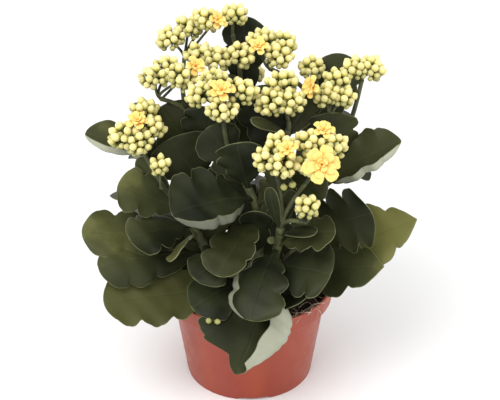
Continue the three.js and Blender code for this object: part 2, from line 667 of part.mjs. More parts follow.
// ---- Blooms ----
// A whorl of petals as one open funnel with a star-shaped rim: each petal has a narrow foot and a blunt
// tip, and the heart of the flower stands up in the middle.
function whorlGeometry(foot, centre, facing, whorl) {
  const [across, third] = squareTo(facing);
  const petal = [
    [0, 0.45],
    [0.28, 1],
    [0.72, 1],
  ];
  const rim = [];
  for (let k = 0; k < whorl.petals; k++) {
    for (const [share, reach] of petal) {
      const angle = (2 * Math.PI * (k + share + whorl.turn)) / whorl.petals;
      rim.push([angle, reach * whorl.length]);
    }
  }
  const level = (height) =>
    rim.map(([angle, reach]) =>
      centre
        .clone()
        .addScaledVector(across, reach * Math.cos(whorl.tilt) * Math.cos(angle))
        .addScaledVector(third, reach * Math.cos(whorl.tilt) * Math.sin(angle))
        .addScaledVector(facing, height + reach * Math.sin(whorl.tilt)),
    );
  const half = BLOOM.petalThickness / 2;
  return spindle(foot, [level(-half), level(half)], centre.clone().addScaledVector(facing, whorl.heart));
}

function bloomSolid(bloom) {
  const facing = vec(bloom.facing).normalize();
  const centre = vec(bloom.centre);
  const foot = centre.clone().addScaledVector(facing, -BLOOM.calyx);
  const outer = { petals: BLOOM.petals, length: bloom.size, tilt: 0.3, turn: 0, heart: 0.3 * bloom.size };
  const parts = [solidOf(whorlGeometry(foot, centre, facing, outer))];
  if (bloom.inner) {
    const length = 0.75 * bloom.size;
    const inner = { petals: bloom.inner, length, tilt: 0.9, turn: 0.5, heart: 0.25 * bloom.size };
    parts.push(solidOf(whorlGeometry(foot, centre, facing, inner)));
  }
  return joined(parts);
}

// ---- Pot and soil ----
function turned(profile, sides) {
  const geometry = new THREE.LatheGeometry(profile.map(([r, z]) => new THREE.Vector2(r, z)), sides);
  return geometry.rotateX(Math.PI / 2);
}

function potSolid() {
  const { height, wall, skirt } = POT;
  const rimBottom = height - POT.rimHeight;
  const profile = [
    [0, 0],
    [POT.padRadius, 0],
    [POT.padRadius + 2, skirt],
    [POT.baseRadius - wall - 0.4, skirt],
    [POT.baseRadius - wall - 0.4, 0],
    [POT.baseRadius, 0],
    [POT.bodyTopRadius, rimBottom],
    [POT.rimLowRadius, rimBottom],
    [POT.rimTopRadius, height],
    [POT.rimTopRadius - wall, height],
    [POT.rimLowRadius - wall, rimBottom + wall],
    [POT.bodyTopRadius - wall, rimBottom + wall - 1],
    [POT.baseRadius - wall, skirt + wall],
    [POT.padRadius + 2, skirt + wall],
    [POT.padRadius, wall],
    [0, wall],
  ];
  let pot = solidOf(turned(profile, POT.sides));
  for (let i = 0; i < DRAIN.count; i++) {
    const angle = (2 * Math.PI * (i + 0.5)) / DRAIN.count;
    const hole = new THREE.CylinderGeometry(DRAIN.radius, DRAIN.radius, 8, DRAIN.sides);
    hole.rotateX(Math.PI / 2);
    hole.translate(DRAIN.circle * Math.cos(angle), DRAIN.circle * Math.sin(angle), skirt);
    pot = pot.subtract(solidOf(hole));
  }
  for (let i = 0; i < NOTCH.count; i++) {
    const angle = THREE.MathUtils.degToRad(NOTCH.firstAngle) + (2 * Math.PI * i) / NOTCH.count;
    const cut = new THREE.BoxGeometry(12, NOTCH.width, 2 * NOTCH.height);
    cut.translate(POT.baseRadius - 1, 0, 0).rotateZ(angle);
    pot = pot.subtract(solidOf(cut));
  }
  return pot;
}

function soilSolid() {
  const { wall, skirt } = POT;
  const rimBottom = POT.height - POT.rimHeight;
  const edge = POT.rimLowRadius - wall - CLEARANCE - 0.4;
  const side = [
    [POT.padRadius - CLEARANCE, wall + CLEARANCE],
    [POT.padRadius + 2 - CLEARANCE, skirt + wall + CLEARANCE],
    [POT.baseRadius - wall - CLEARANCE - 0.1, skirt + wall + CLEARANCE],
    [POT.bodyTopRadius - wall - CLEARANCE, rimBottom + wall - 1 + CLEARANCE],
    [edge, rimBottom + wall + CLEARANCE],
    [edge, SOIL.level - 0.6],
  ];
  const ring = (radius, height, bump) =>
    Array.from({ length: SOIL.sides }, (_, j) => {
      const angle = (2 * Math.PI * j) / SOIL.sides;
      const [x, y] = [radius * Math.cos(angle), radius * Math.sin(angle)];
      const lump = Math.sin(x * 0.31 + 1.3) * Math.cos(y * 0.27) + 0.5 * Math.sin(x * 0.83 + y * 0.71);
      return new THREE.Vector3(x, y, height + bump * lump);
    });
  const rings = side.map(([radius, height]) => ring(radius, height, 0));
  for (const share of SOIL.rings) rings.push(ring(edge * share, SOIL.level, SOIL.bump));
  let soil = solidOf(tube(rings));
  for (const shoot of Object.values(SHOOTS)) {
    const curve = bezier(shoot.path);
    const radius = shoot.radius[0] + STEM_HOLE.spare;
    const floor = curve.getPoint(0).addScaledVector(curve.getTangent(0), -CLEARANCE);
    const hole = new THREE.LineCurve3(floor, curve.getPoint(STEM_HOLE.share));
    soil = soil.subtract(stalk(hole, radius, radius, STEM_HOLE.sides, 1));
  }
  return soil;
}

// ---- Assembly ----
const plant = new THREE.Group();

function addPiece(name, solid, colour) {
  const mesh = new THREE.Mesh(geometryOf(solid), new THREE.MeshStandardMaterial(colour));
  mesh.name = name;
  plant.add(mesh);
}

addPiece("pot", potSolid(), COLOURS.pot);
addPiece("soil", soilSolid(), COLOURS.soil);
for (const [name, shoot] of Object.entries(SHOOTS)) {
  addPiece(`shoot_${name}`, shootSolid(name, shoot), COLOURS.leaf);
}
Object.entries(HEADS).forEach(([name, head], i) => {
  addPiece(`head_${name}`, headSolid(name, head, i + 1), COLOURS.bud);
});
for (const [name, bloom] of Object.entries(BLOOMS)) {
  addPiece(`bloom_${name}`, bloomSolid(bloom), COLOURS.petal);
}

export default plant;
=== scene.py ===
"""Potted kalanchoe in bud: nursery pot, soil, leafy shoots, flower heads and the first open blooms.

Every length in the classes is in millimetres, as in the part's source, and the meshes are written in
metres, +Z up, with the plant's front towards -Y.
"""

import logging
import math
from dataclasses import dataclass, field
from enum import Enum
from typing import Any, Union

import bpy
import numpy as np
import numpy.typing as npt
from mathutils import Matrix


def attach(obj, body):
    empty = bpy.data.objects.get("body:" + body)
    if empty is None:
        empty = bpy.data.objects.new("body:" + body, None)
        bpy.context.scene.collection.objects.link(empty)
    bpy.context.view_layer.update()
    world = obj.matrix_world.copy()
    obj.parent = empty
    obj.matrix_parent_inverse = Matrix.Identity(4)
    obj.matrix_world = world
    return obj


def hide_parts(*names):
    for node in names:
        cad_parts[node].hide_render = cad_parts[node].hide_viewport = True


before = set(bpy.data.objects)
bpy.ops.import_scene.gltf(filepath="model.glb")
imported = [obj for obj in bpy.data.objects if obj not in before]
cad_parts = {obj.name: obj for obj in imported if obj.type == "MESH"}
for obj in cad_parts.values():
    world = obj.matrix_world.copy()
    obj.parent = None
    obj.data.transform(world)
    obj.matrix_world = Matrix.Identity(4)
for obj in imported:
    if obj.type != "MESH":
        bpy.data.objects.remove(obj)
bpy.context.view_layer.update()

LOG = logging.getLogger("kalanchoe")
Array = npt.NDArray[np.float64]
Whole = npt.NDArray[np.int64]
Point = tuple[float, float, float]
Colour = tuple[float, float, float]
Socket = Union[bpy.types.NodeSocket, float, Colour]

METRES_PER_MM = 0.001
UV_PER_MM = 0.01
UP = np.array([0.0, 0.0, 1.0])


class Slot(Enum):
    """The record's material slots."""

    POT = "terracotta_plastic"
    SOIL = "soil"
    LEAF = "leaf"
    BUD = "bud"
    PETAL = "petal"


# ---- Numbers and directions ----


def unit(vectors: Array) -> Array:
    """Scales each vector to length 1."""
    return vectors / np.linalg.norm(vectors, axis=-1, keepdims=True)


def smooth(values: Array, low: float, high: float) -> Array:
    """The smooth step: 0 below low, 1 above high, and 3t^2 - 2t^3 between them."""
    t = np.clip((values - low) / (high - low), 0.0, 1.0)
    return t * t * (3.0 - 2.0 * t)


def draw(seed: float) -> float:
    """A repeatable number between 0 and 1: the digits of a large sine after the point."""
    value = math.sin(seed * 127.1 + 311.7) * 43758.5453
    return value - math.floor(value)


def bezier(points: Array, t: Array) -> Array:
    """Points of Bezier curves: the sum of each control point times its Bernstein weight.

    Args:
        points: Control points, the last two axes being (order + 1, 3).
        t: Shares of the curve, shape (n,).

    Returns:
        Points of shape (..., n, 3).
    """
    order = points.shape[-2] - 1
    weights = np.stack(
        [math.comb(order, k) * t**k * (1.0 - t) ** (order - k) for k in range(order + 1)], axis=-1
    )
    return weights @ points


def bezier_slope(points: Array, t: Array) -> Array:
    """Unit tangents of Bezier curves, from the curve of the control points' differences."""
    return unit(bezier(np.diff(points, axis=-2), t))


def square_to(directions: Array) -> tuple[Array, Array]:
    """Two unit directions square to each given one and to each other.

    Args:
        directions: Unit vectors of shape (..., 3).

    Returns:
        The vector across, which is level where it can be, and the third direction.
    """
    steep = np.abs(directions[..., 1:2]) < 0.9
    helper = np.where(steep, np.array([0.0, 1.0, 0.0]), np.array([1.0, 0.0, 0.0]))
    across = unit(np.cross(helper, directions))
    return across, np.cross(directions, across)


def sums_before(steps: Array) -> Array:
    """At each step along the last axis, the sum of the steps before it."""
    start = np.zeros(steps.shape[:-1] + (1,))
    return np.concatenate([start, np.cumsum(steps, axis=-1)[..., :-1]], axis=-1)


# ---- Surfaces ----


@dataclass
class Surface:
    """A closed surface.

    Attributes:
        points: Its points in millimetres.
        quads: Its four-sided faces, as numbers of points.
        triangles: Its three-sided faces, as numbers of points.
        finish: The number of its material in the piece.
        uv: Each point's place in a texture.
        marks: Each point's values that finishes read, by name.
    """

    points: Array
    quads: Whole
    triangles: Whole
    finish: int
    uv: Array
    marks: dict[str, Array]


def skins(rings: Array, finish: int = 0, uv: Array | None = None, **marks: Array) -> Surface:
    """Closed skins over rows of rings, each end closed by a fan round the ring's middle.

    Args:
        rings: Points of shape (count, rings, around, 3).
        finish: The index of the piece's material.
        uv: Texture places of shape (count, rings, around, 2).
        **marks: Named values that broadcast to (count, rings, around).

    Returns:
        One surface that holds all the skins, with its faces outwards.
    """
    count, steps, around, _ = rings.shape
    body = steps * around
    each = body + 2

    def with_poles(values: Array) -> Array:
        """The rings' values in a row, with the mean of each end ring's for its pole.

        Args:
            values: Values of the rings' points.

        Returns:
            Values of the rings' points and the poles, skin after skin.
        """
        values = np.broadcast_to(values, (count, steps, around) + values.shape[3:])
        poles = values[:, [0, -1]].mean(axis=2)
        flat = values.reshape((count, body) + values.shape[3:])
        return np.concatenate([flat, poles], axis=1).reshape((count * each,) + values.shape[3:])

    row = np.arange(steps - 1)[:, None] * around
    column = np.arange(around)[None, :]
    following = (column + 1) % around
    quads = np.stack([row + column, row + following, row + around + following, row + around + column], -1)
    j, k = column[0], following[0]
    last = body - around
    start = np.stack([np.full(around, body), k, j], -1)
    end = np.stack([np.full(around, body + 1), last + j, last + k], -1)
    shift = (np.arange(count) * each)[:, None, None]
    all_quads = (quads.reshape(1, -1, 4) + shift).reshape(-1, 4)
    all_triangles = (np.concatenate([start, end])[None] + shift).reshape(-1, 3)
    points = with_poles(rings)
    if uv is None:
        uv = np.zeros((count, steps, around, 2))
    surface = Surface(
        points,
        all_quads,
        all_triangles,
        finish,
        with_poles(uv),
        {name: with_poles(np.asarray(value, float)) for name, value in marks.items()},
    )
    if volume(surface) < 0.0:
        surface.quads = surface.quads[:, ::-1]
        surface.triangles = surface.triangles[:, ::-1]
    return surface


def volume(surface: Surface) -> float:
    """Six times the signed volume: the sum of the triple products of the faces' corners.

    Args:
        surface: The closed surface.

    Returns:
        A value above 0 where the faces point outwards.
    """
    q, t = surface.quads, surface.triangles
    corners = np.concatenate([q[:, [0, 1, 2]], q[:, [0, 2, 3]], t])
    a, b, c = (surface.points[corners[:, i]] for i in range(3))
    return float(np.einsum("ij,ij->", a, np.cross(b, c)))


def two_sided(upper: Array, lower: Array, axis: int = 1) -> Array:
    """Rings over an upper side and back along a lower one, which share the places at both ends."""
    back = np.arange(lower.shape[axis] - 2, 0, -1)
    return np.concatenate([upper, np.take(lower, back, axis=axis)], axis=axis)


def tubes(paths: Array, radii: Array, sides: int, finish: int = 0, **marks: Array) -> Surface:
    """Round tubes along paths: each ring lies square to its path's slope.

    Args:
        paths: Points of shape (count, rings, 3).
        radii: Radii that broadcast to (count, rings).
        sides: Points round each ring.
        finish: The index of the piece's material.
        **marks: Named values that broadcast to (count, rings, sides).

    Returns:
        One surface that holds all the tubes.
    """
    slopes = unit(np.gradient(paths, axis=1))
    across, third = square_to(slopes)
    angle = np.linspace(0.0, 2.0 * np.pi, sides, endpoint=False)
    radius = np.broadcast_to(radii, paths.shape[:2])[:, :, None, None]
    circle = across[:, :, None] * np.cos(angle)[:, None] + third[:, :, None] * np.sin(angle)[:, None]
    return skins(paths[:, :, None] + radius * circle, finish, None, **marks)


def wobble(places: Array, size: float, seed: float = 0.0) -> Array:
    """A smooth uneven value from -1 to 1 at each place: the mean of three crossed sine waves.

    Args:
        places: Points of shape (..., 3).
        size: The waves' length.
        seed: What shifts them.

    Returns:
        Values of shape (...).
    """
    p = places * (2.0 * np.pi / size) + seed
    x, y, z = p[..., 0], p[..., 1], p[..., 2]
    return (np.sin(x + 1.3 * y) + np.sin(0.7 * y - z + 1.9) + np.sin(0.9 * z + 0.8 * x + 4.1)) / 3.0


class Piece:
    """Collects surfaces and writes them as one Blender mesh."""

    MARKS = ("edge", "under", "tone", "along")

    def __init__(self, name: str) -> None:
        """Starts an empty piece of that name."""
        self.name = name
        self.surfaces: list[Surface] = []

    def add(self, surface: Surface) -> None:
        """Adds a surface."""
        self.surfaces.append(surface)

    def paint(self, mesh: bpy.types.Mesh, loops: Whole) -> None:
        """Gives the mesh its texture places and the marks that its finishes read.

        Args:
            mesh: The mesh, with its points and faces in place.
            loops: The point number of each face corner.
        """
        uv = np.concatenate([s.uv for s in self.surfaces])[loops]
        mesh.uv_layers.new(name="UVMap").uv.foreach_set("vector", uv.astype(np.float32).ravel())
        for mark in self.MARKS:
            found = [s.marks.get(mark, np.zeros(len(s.points))) for s in self.surfaces]
            if any(mark in s.marks for s in self.surfaces):
                values = mesh.attributes.new(mark, "FLOAT", "POINT").data
                values.foreach_set("value", np.concatenate(found).astype(np.float32))

    def make(self, finishes: list[bpy.types.Material]) -> bpy.types.Object:
        """Makes the object, smooth and in place.

        Args:
            finishes: The materials that the surfaces' finish numbers stand for.

        Returns:
            The new object.
        """
        starts = np.cumsum([0] + [len(s.points) for s in self.surfaces])
        quads = np.concatenate([s.quads + o for s, o in zip(self.surfaces, starts)])
        triangles = np.concatenate([s.triangles + o for s, o in zip(self.surfaces, starts)])
        points = np.concatenate([s.points for s in self.surfaces]) * METRES_PER_MM
        mesh = bpy.data.meshes.new(self.name)
        mesh.vertices.add(len(points))
        mesh.vertices.foreach_set("co", points.astype(np.float32).ravel())
        loops = np.concatenate([quads.ravel(), triangles.ravel()])
        sizes = np.concatenate([np.full(len(quads), 4), np.full(len(triangles), 3)])
        mesh.loops.add(len(loops))
        mesh.loops.foreach_set("vertex_index", loops.astype(np.int32))
        mesh.polygons.add(len(sizes))
        mesh.polygons.foreach_set("loop_start", (np.cumsum(sizes) - sizes).astype(np.int32))
        order = [np.full(len(s.quads), s.finish) for s in self.surfaces]
        order += [np.full(len(s.triangles), s.finish) for s in self.surfaces]
        mesh.polygons.foreach_set("material_index", np.concatenate(order).astype(np.int32))
        self.paint(mesh, loops)
        mesh.update(calc_edges=True)
        mesh.validate()
        mesh.shade_smooth()
        for material in finishes:
            mesh.materials.append(material)
        piece = bpy.data.objects.new(self.name, mesh)
        bpy.context.scene.collection.objects.link(piece)
        return piece

    def write(self, finishes: list[bpy.types.Material], slot: Slot, *nodes: str) -> bpy.types.Object:
        """Makes the object and ties it to the part's one body.

        Args:
            finishes: The materials that the surfaces' finish numbers stand for.
            slot: The record's slot for the piece. It is not used.
            *nodes: The part's nodes that the piece replaces.

        Returns:
            The new object.
        """
        piece = self.make(finishes)
        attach(piece, "root")
        if nodes:
            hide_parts(*nodes)
        LOG.info("%s: %d faces", piece.name, len(piece.data.polygons))
        return piece


# ---- Finishes ----


class Graph:
    """A material's nodes, with short calls for the ones that the finishes use."""

    # The mix node's numbers and vectors bear the same names as its colours, so these go by number.
    MIX_COLOURS = (6, 7)
    MIX_RESULT = 2

    def __init__(self, name: str) -> None:
        """Starts a material with one shader, and the piece's own coordinates.

        Args:
            name: The material's name.
        """
        self.material = bpy.data.materials.new(name)
        self.material.use_nodes = True
        self.tree = self.material.node_tree
        self.shader = self.tree.nodes["Principled BSDF"]
        self.coordinates = self.add("ShaderNodeTexCoord").outputs
        self.place = self.coordinates["Object"]

    def set(self, socket: bpy.types.NodeSocket, value: Socket) -> None:
        """Links an input to a value, or gives it its number, direction or colour.

        Args:
            socket: The input.
            value: Another node's output, a number, or three numbers.
        """
        if isinstance(value, bpy.types.NodeSocket):
            self.tree.links.new(value, socket)
        elif isinstance(value, tuple) and socket.type == "RGBA":
            socket.default_value = (*value, 1.0)
        else:
            socket.default_value = value

    def add(self, kind: str, settings: dict[str, Any] | None = None, **inputs: Socket) -> bpy.types.Node:
        """Adds a node.

        Args:
            kind: Blender's name for the kind of node.
            settings: Its settings by name.
            **inputs: Its inputs by name, with _ for a space.

        Returns:
            The node.
        """
        node = self.tree.nodes.new(kind)
        for name, value in (settings or {}).items():
            setattr(node, name, value)
        for name, value in inputs.items():
            self.set(node.inputs[name.replace("_", " ")], value)
        return node

    def dress(self, **inputs: Socket) -> None:
        """Sets the shader's inputs by name, with _ for a space."""
        for name, value in inputs.items():
            self.set(self.shader.inputs[name.replace("_", " ")], value)

    def mark(self, name: str) -> bpy.types.NodeSocket:
        """The value of one of the piece's marks."""
        return self.add("ShaderNodeAttribute", {"attribute_name": name}).outputs["Fac"]

    def axes(self, kind: str) -> tuple[bpy.types.NodeSocket, ...]:
        """The x, y and z of the piece's coordinates of that kind, which is Object or UV."""
        return tuple(self.add("ShaderNodeSeparateXYZ", Vector=self.coordinates[kind]).outputs)

    def math(
        self, operation: str, first: Socket, second: Socket = 0.0, clamp: bool = False
    ) -> bpy.types.NodeSocket:
        """One sum of two values.

        Args:
            operation: Blender's name for the sum.
            first: The first value.
            second: The second value, where the sum has one.
            clamp: Whether the result is held between 0 and 1.

        Returns:
            The result.
        """
        node = self.add("ShaderNodeMath", {"operation": operation, "use_clamp": clamp})
        self.set(node.inputs[0], first)
        self.set(node.inputs[1], second)
        return node.outputs[0]

    def span(
        self, value: Socket, low: float, high: float, start: float = 0.0, end: float = 1.0
    ) -> bpy.types.NodeSocket:
        """Turns a value between two limits smoothly into one between two others.

        Args:
            value: The value.
            low: Below this it becomes start.
            high: Above this it becomes end.
            start: The result's first limit.
            end: The result's other limit.

        Returns:
            The result.
        """
        node = self.add("ShaderNodeMapRange", {"interpolation_type": "SMOOTHSTEP"}, Value=value)
        for name, number in (("From Min", low), ("From Max", high), ("To Min", start), ("To Max", end)):
            node.inputs[name].default_value = number
        return node.outputs["Result"]

    def mix(self, share: Socket, first: Socket, second: Socket) -> bpy.types.NodeSocket:
        """A colour between two.

        Args:
            share: How much of the second colour there is.
            first: The first colour.
            second: The second colour.

        Returns:
            The mixed colour.
        """
        node = self.add("ShaderNodeMix", {"data_type": "RGBA"})
        self.set(node.inputs["Factor"], share)
        for number, colour in zip(self.MIX_COLOURS, (first, second)):
            self.set(node.inputs[number], colour)
        return node.outputs[self.MIX_RESULT]

    def noise(
        self, scale: float, detail: float = 3.0, roughness: float = 0.5, place: Socket | None = None
    ) -> bpy.types.NodeSocket:
        """Cloudy noise on the piece's own coordinates.

        Args:
            scale: Clouds for each metre.
            detail: How many finer sizes of clouds are added.
            roughness: How strong the finer ones are.
            place: Other coordinates to read.

        Returns:
            Values round a half.
        """
        node = self.add(
            "ShaderNodeTexNoise",
            Vector=self.place if place is None else place,
            Scale=scale,
            Detail=detail,
            Roughness=roughness,
        )
        return node.outputs["Fac"]

    def stretched(self, x: float, y: float, z: float) -> bpy.types.NodeSocket:
        """The piece's own coordinates, scaled along each axis."""
        return self.add("ShaderNodeMapping", Vector=self.place, Scale=(x, y, z)).outputs["Vector"]

    def bump(
        self, height: Socket, depth: float, strength: float = 1.0, below: Socket | None = None
    ) -> bpy.types.NodeSocket:
        """Small relief on top of another one.

        Args:
            height: The relief's height from 0 to 1.
            depth: The depth in metres that 1 stands for.
            strength: How much of the relief shows.
            below: The relief under it.

        Returns:
            The direction for a shader.
        """
        node = self.add("ShaderNodeBump", Height=height, Distance=depth, Strength=strength)
        if below is not None:
            self.set(node.inputs["Normal"], below)
        return node.outputs["Normal"]


@dataclass(frozen=True)
class LeafFinish:
    """Waxy leaf: dark olive above, pale below, with a thin light margin that is a painted highlight along
    its rounded edge.

    Veins are measured in millimetres on the leaf. The face carries painted shade near the plant's axis, and
    painted_shade_reach, the distances over which it fades, is in metres from the axis.
    """

    deep: Colour = (0.009, 0.011, 0.005)
    mid: Colour = (0.022, 0.027, 0.0105)
    outer: Colour = (0.058, 0.063, 0.021)
    fresh: Colour = (0.24, 0.235, 0.07)
    # Painted highlight along the leaf's rounded edge.
    margin: Colour = (0.16, 0.17, 0.07)
    under: Colour = (0.40, 0.41, 0.31)
    vein: Colour = (0.10, 0.11, 0.045)
    vein_spacing: float = 10.0
    vein_slant: float = 0.9
    lateral_reach: float = 0.7
    rib_reach: tuple[float, float] = (0.2, 0.9)
    # Painted shade: the face is darkest within the first distance from the plant's axis and lightens up to
    # the second.
    painted_shade_reach: tuple[float, float] = (0.03, 0.1)

    def veins(self, g: Graph) -> bpy.types.NodeSocket:
        """The midrib, and faint laterals that slant towards the tip.

        Args:
            g: The material's nodes.

        Returns:
            How much of a vein each place is.
        """
        across, along, _ = g.axes("UV")
        side = g.math("ABSOLUTE", g.math("SUBTRACT", across, 0.5))
        rib = g.span(side, self.rib_reach[0] * UV_PER_MM, self.rib_reach[1] * UV_PER_MM, 1.0, 0.0)
        slant = g.math("SUBTRACT", along, g.math("MULTIPLY", side, self.vein_slant))
        above_zero = g.math("ADD", slant, 10.0)
        wave = g.math("PINGPONG", above_zero, 0.5 * self.vein_spacing * UV_PER_MM)
        lateral = g.span(wave, 0.0, self.lateral_reach * UV_PER_MM, 1.0, 0.0)
        return g.math("MAXIMUM", rib, g.math("MULTIPLY", lateral, 0.15))

    def above(self, g: Graph, cloud: bpy.types.NodeSocket) -> bpy.types.NodeSocket:
        """The upper side's colour, with painted shade: darkest near the plant's axis, where the crowded
        middle lies in shade, and lighter and fresher further out.

        Args:
            g: The material's nodes.
            cloud: The noise that the leaf's finish shares.

        Returns:
            The colour.
        """
        x, y, _ = g.axes("Object")
        level = g.add("ShaderNodeCombineXYZ", X=x, Y=y)
        away = g.add("ShaderNodeVectorMath", {"operation": "LENGTH"})
        g.set(away.inputs[0], level.outputs["Vector"])
        # Painted shade: outside is 0 near the axis and 1 further out, and only there do the lighter olive
        # and the fresh flecks show.
        outside = g.span(away.outputs["Value"], *self.painted_shade_reach)
        light = g.math("MULTIPLY", g.span(g.noise(9.0, 2.0), 0.35, 0.7), outside)
        colour = g.mix(g.span(cloud, 0.35, 0.68), self.deep, self.mid)
        colour = g.mix(light, colour, self.outer)
        fleck = g.span(g.math("MULTIPLY", cloud, light), 0.35, 0.6, 0.0, 0.35)
        colour = g.mix(fleck, colour, self.fresh)
        return g.mix(g.mark("tone"), colour, self.fresh)

    def make(self) -> bpy.types.Material:
        """Builds the material.

        Returns:
            The material.
        """
        g = Graph("waxy_leaf")
        cloud = g.noise(38.0, 4.0)
        veins = self.veins(g)
        above = g.mix(g.math("MULTIPLY", veins, 0.07), self.above(g, cloud), self.vein)
        below = g.mix(g.span(cloud, 0.3, 0.7), self.under, tuple(0.8 * c for c in self.under))
        below = g.mix(g.math("MULTIPLY", veins, 0.25), below, self.vein)
        patchy = g.span(g.noise(30.0, 3.0), 0.35, 0.6, 0.25, 0.85)
        # Painted highlight: the margin colour lies along the rounded edge, broken into patches.
        margin = g.math("MULTIPLY", g.span(g.mark("edge"), 0.1, 0.7, 1.0, 0.0), patchy)
        colour = g.mix(margin, g.mix(g.mark("under"), above, below), self.margin)
        relief = g.bump(g.noise(900.0, 2.0), 0.00004, 0.5)
        relief = g.bump(g.math("MULTIPLY", veins, -1.0), 0.00025, 0.3, relief)
        relief = g.bump(g.noise(120.0, 3.0), 0.0004, 0.5, relief)
        g.dress(
            Base_Color=colour,
            Roughness=g.span(cloud, 0.3, 0.7, 0.36, 0.55),
            Specular_IOR_Level=0.13,
            Normal=relief,
        )
        return g.material


@dataclass(frozen=True)
class StemFinish:
    """Fleshy stem that turns from brown to green between two heights, in metres."""

    green: Colour = (0.085, 0.092, 0.034)
    olive: Colour = (0.045, 0.050, 0.022)
    brown: Colour = (0.060, 0.045, 0.028)
    brown_heights: tuple[float, float] = (0.06, 0.12)

    def make(self) -> bpy.types.Material:
        """Builds the material.

        Returns:
            The material.
        """
        g = Graph("green_stem")
        _, _, height = g.axes("Object")
        colour = g.mix(g.span(g.noise(140.0, 4.0), 0.35, 0.65), self.green, self.olive)
        colour = g.mix(g.span(height, *self.brown_heights, 0.75, 0.0), colour, self.brown)
        streak = g.noise(60.0, 3.0, 0.6, g.stretched(9.0, 9.0, 1.0))
        g.dress(
            Base_Color=colour,
            Roughness=0.5,
            Specular_IOR_Level=0.35,
            Normal=g.bump(streak, 0.0003, 0.6),
        )
        return g.material


@dataclass(frozen=True)
class BudFinish:
    """Plump bud: green sepals at its foot, cream yellow above and paler at its tip, partly its own colour
    and partly a painted highlight, with painted shade in the petals' folds at its tip.
    """

    cream: Colour = (0.71, 0.62, 0.19)
    pale: Colour = (0.93, 0.84, 0.40)
    green: Colour = (0.18, 0.20, 0.045)
    # Darker olive: painted shade in the petals' creases, and also the bud's random darker flecks.
    fold: Colour = (0.50, 0.40, 0.11)
    folds: int = 4

    def make(self) -> bpy.types.Material:
        """Builds the material.

        Returns:
            The material.
        """
        g = Graph("flower_bud")
        along = g.mark("along")
        around, _, _ = g.axes("UV")
        # Paler towards the tip: partly the bud's own colour, partly a painted highlight on its top.
        colour = g.mix(g.span(along, 0.4, 0.85), self.cream, self.pale)
        foot = g.span(along, 0.1, 0.52, 1.0, 0.0)
        turn = g.math("ADD", around, g.math("MULTIPLY", along, 0.35))
        folds = g.math("PINGPONG", turn, 0.5 / self.folds)
        # Painted shade: the crease lines near the tip take the darker fold colour; the same lines also dent
        # the relief.
        crease = g.math("MULTIPLY", g.span(folds, 0.0, 0.03, 1.0, 0.0), g.span(along, 0.5, 0.85))
        colour = g.mix(g.math("MULTIPLY", crease, 0.3), colour, self.fold)
        colour = g.mix(foot, colour, self.green)
        colour = g.mix(g.math("MULTIPLY", g.mark("tone"), 0.75), colour, self.green)
        colour = g.mix(g.span(g.noise(220.0, 2.0), 0.45, 0.8, 0.0, 0.25), colour, self.fold)
        g.dress(
            Base_Color=colour,
            Roughness=0.5,
            Specular_IOR_Level=0.35,
            Subsurface_Weight=0.18,
            Subsurface_Radius=(1.0, 0.8, 0.3),
            Subsurface_Scale=0.0015,
            Normal=g.bump(g.math("MULTIPLY", crease, -1.0), 0.0003, 0.6),
        )
        return g.material


@dataclass(frozen=True)
class PetalFinish:
    """Thin petal, warm orange at its foot and yellow at its tip."""

    tip: Colour = (0.92, 0.68, 0.21)
    foot: Colour = (0.86, 0.41, 0.06)

    def make(self) -> bpy.types.Material:
        """Builds the material.

        Returns:
            The material.
        """
        g = Graph("petal")
        along = g.mark("along")
        streak = g.noise(500.0, 2.0)
        share = g.math("ADD", along, g.math("MULTIPLY", g.math("SUBTRACT", streak, 0.5), 0.3), True)
        colour = g.mix(g.span(share, 0.1, 0.75), self.foot, self.tip)
        g.dress(
            Base_Color=colour,
            Roughness=0.55,
            Specular_IOR_Level=0.25,
            Subsurface_Weight=0.25,
            Subsurface_Radius=(1.0, 0.6, 0.2),
            Subsurface_Scale=0.001,
            Normal=g.bump(streak, 0.0001, 0.6),
        )
        return g.material


@dataclass(frozen=True)
class PotFinish:
    """Moulded terracotta-coloured plastic: faint flow lines, scuffs, and dust near the soil's height.

    The dust's two heights are in metres.
    """

    body: Colour = (0.26, 0.029, 0.010)
    warm: Colour = (0.31, 0.043, 0.010)
    dust: Colour = (0.40, 0.15, 0.10)
    dust_heights: tuple[float, float] = (0.066, 0.074)

    def make(self) -> bpy.types.Material:
        """Builds the material.

        Returns:
            The material.
        """
        g = Graph("terracotta_plastic")
        flow = g.noise(14.0, 3.0, 0.55, g.stretched(3.0, 3.0, 0.35))
        colour = g.mix(g.span(flow, 0.3, 0.7), self.body, self.warm)
        scuff = g.noise(90.0, 6.0, 0.7)
        colour = g.mix(g.span(scuff, 0.6, 0.78, 0.0, 0.3), colour, self.dust)
        _, _, height = g.axes("Object")
        splash = g.math("MULTIPLY", g.span(height, *self.dust_heights), g.span(scuff, 0.5, 0.65))
        colour = g.mix(g.math("MULTIPLY", splash, 0.5), colour, self.dust)
        orange_peel = g.bump(g.noise(1400.0, 2.0), 0.00003, 0.5)
        g.dress(
            Base_Color=colour,
            Roughness=g.span(scuff, 0.35, 0.7, 0.34, 0.5),
            Specular_IOR_Level=0.5,
            Normal=g.bump(flow, 0.0003, 0.35, orange_peel),
        )
        return g.material


@dataclass(frozen=True)
class SoilFinish:
    """Damp peat."""

    dark: Colour = (0.012, 0.008, 0.006)
    brown: Colour = (0.055, 0.032, 0.02)

    def make(self) -> bpy.types.Material:
        """Builds the material.

        Returns:
            The material.
        """
        g = Graph("peat")
        grain = g.noise(420.0, 6.0, 0.7)
        colour = g.mix(g.span(grain, 0.4, 0.7), self.dark, self.brown)
        g.dress(
            Base_Color=colour,
            Roughness=0.95,
            Specular_IOR_Level=0.2,
            Normal=g.bump(grain, 0.0015, 0.9),
        )
        return g.material


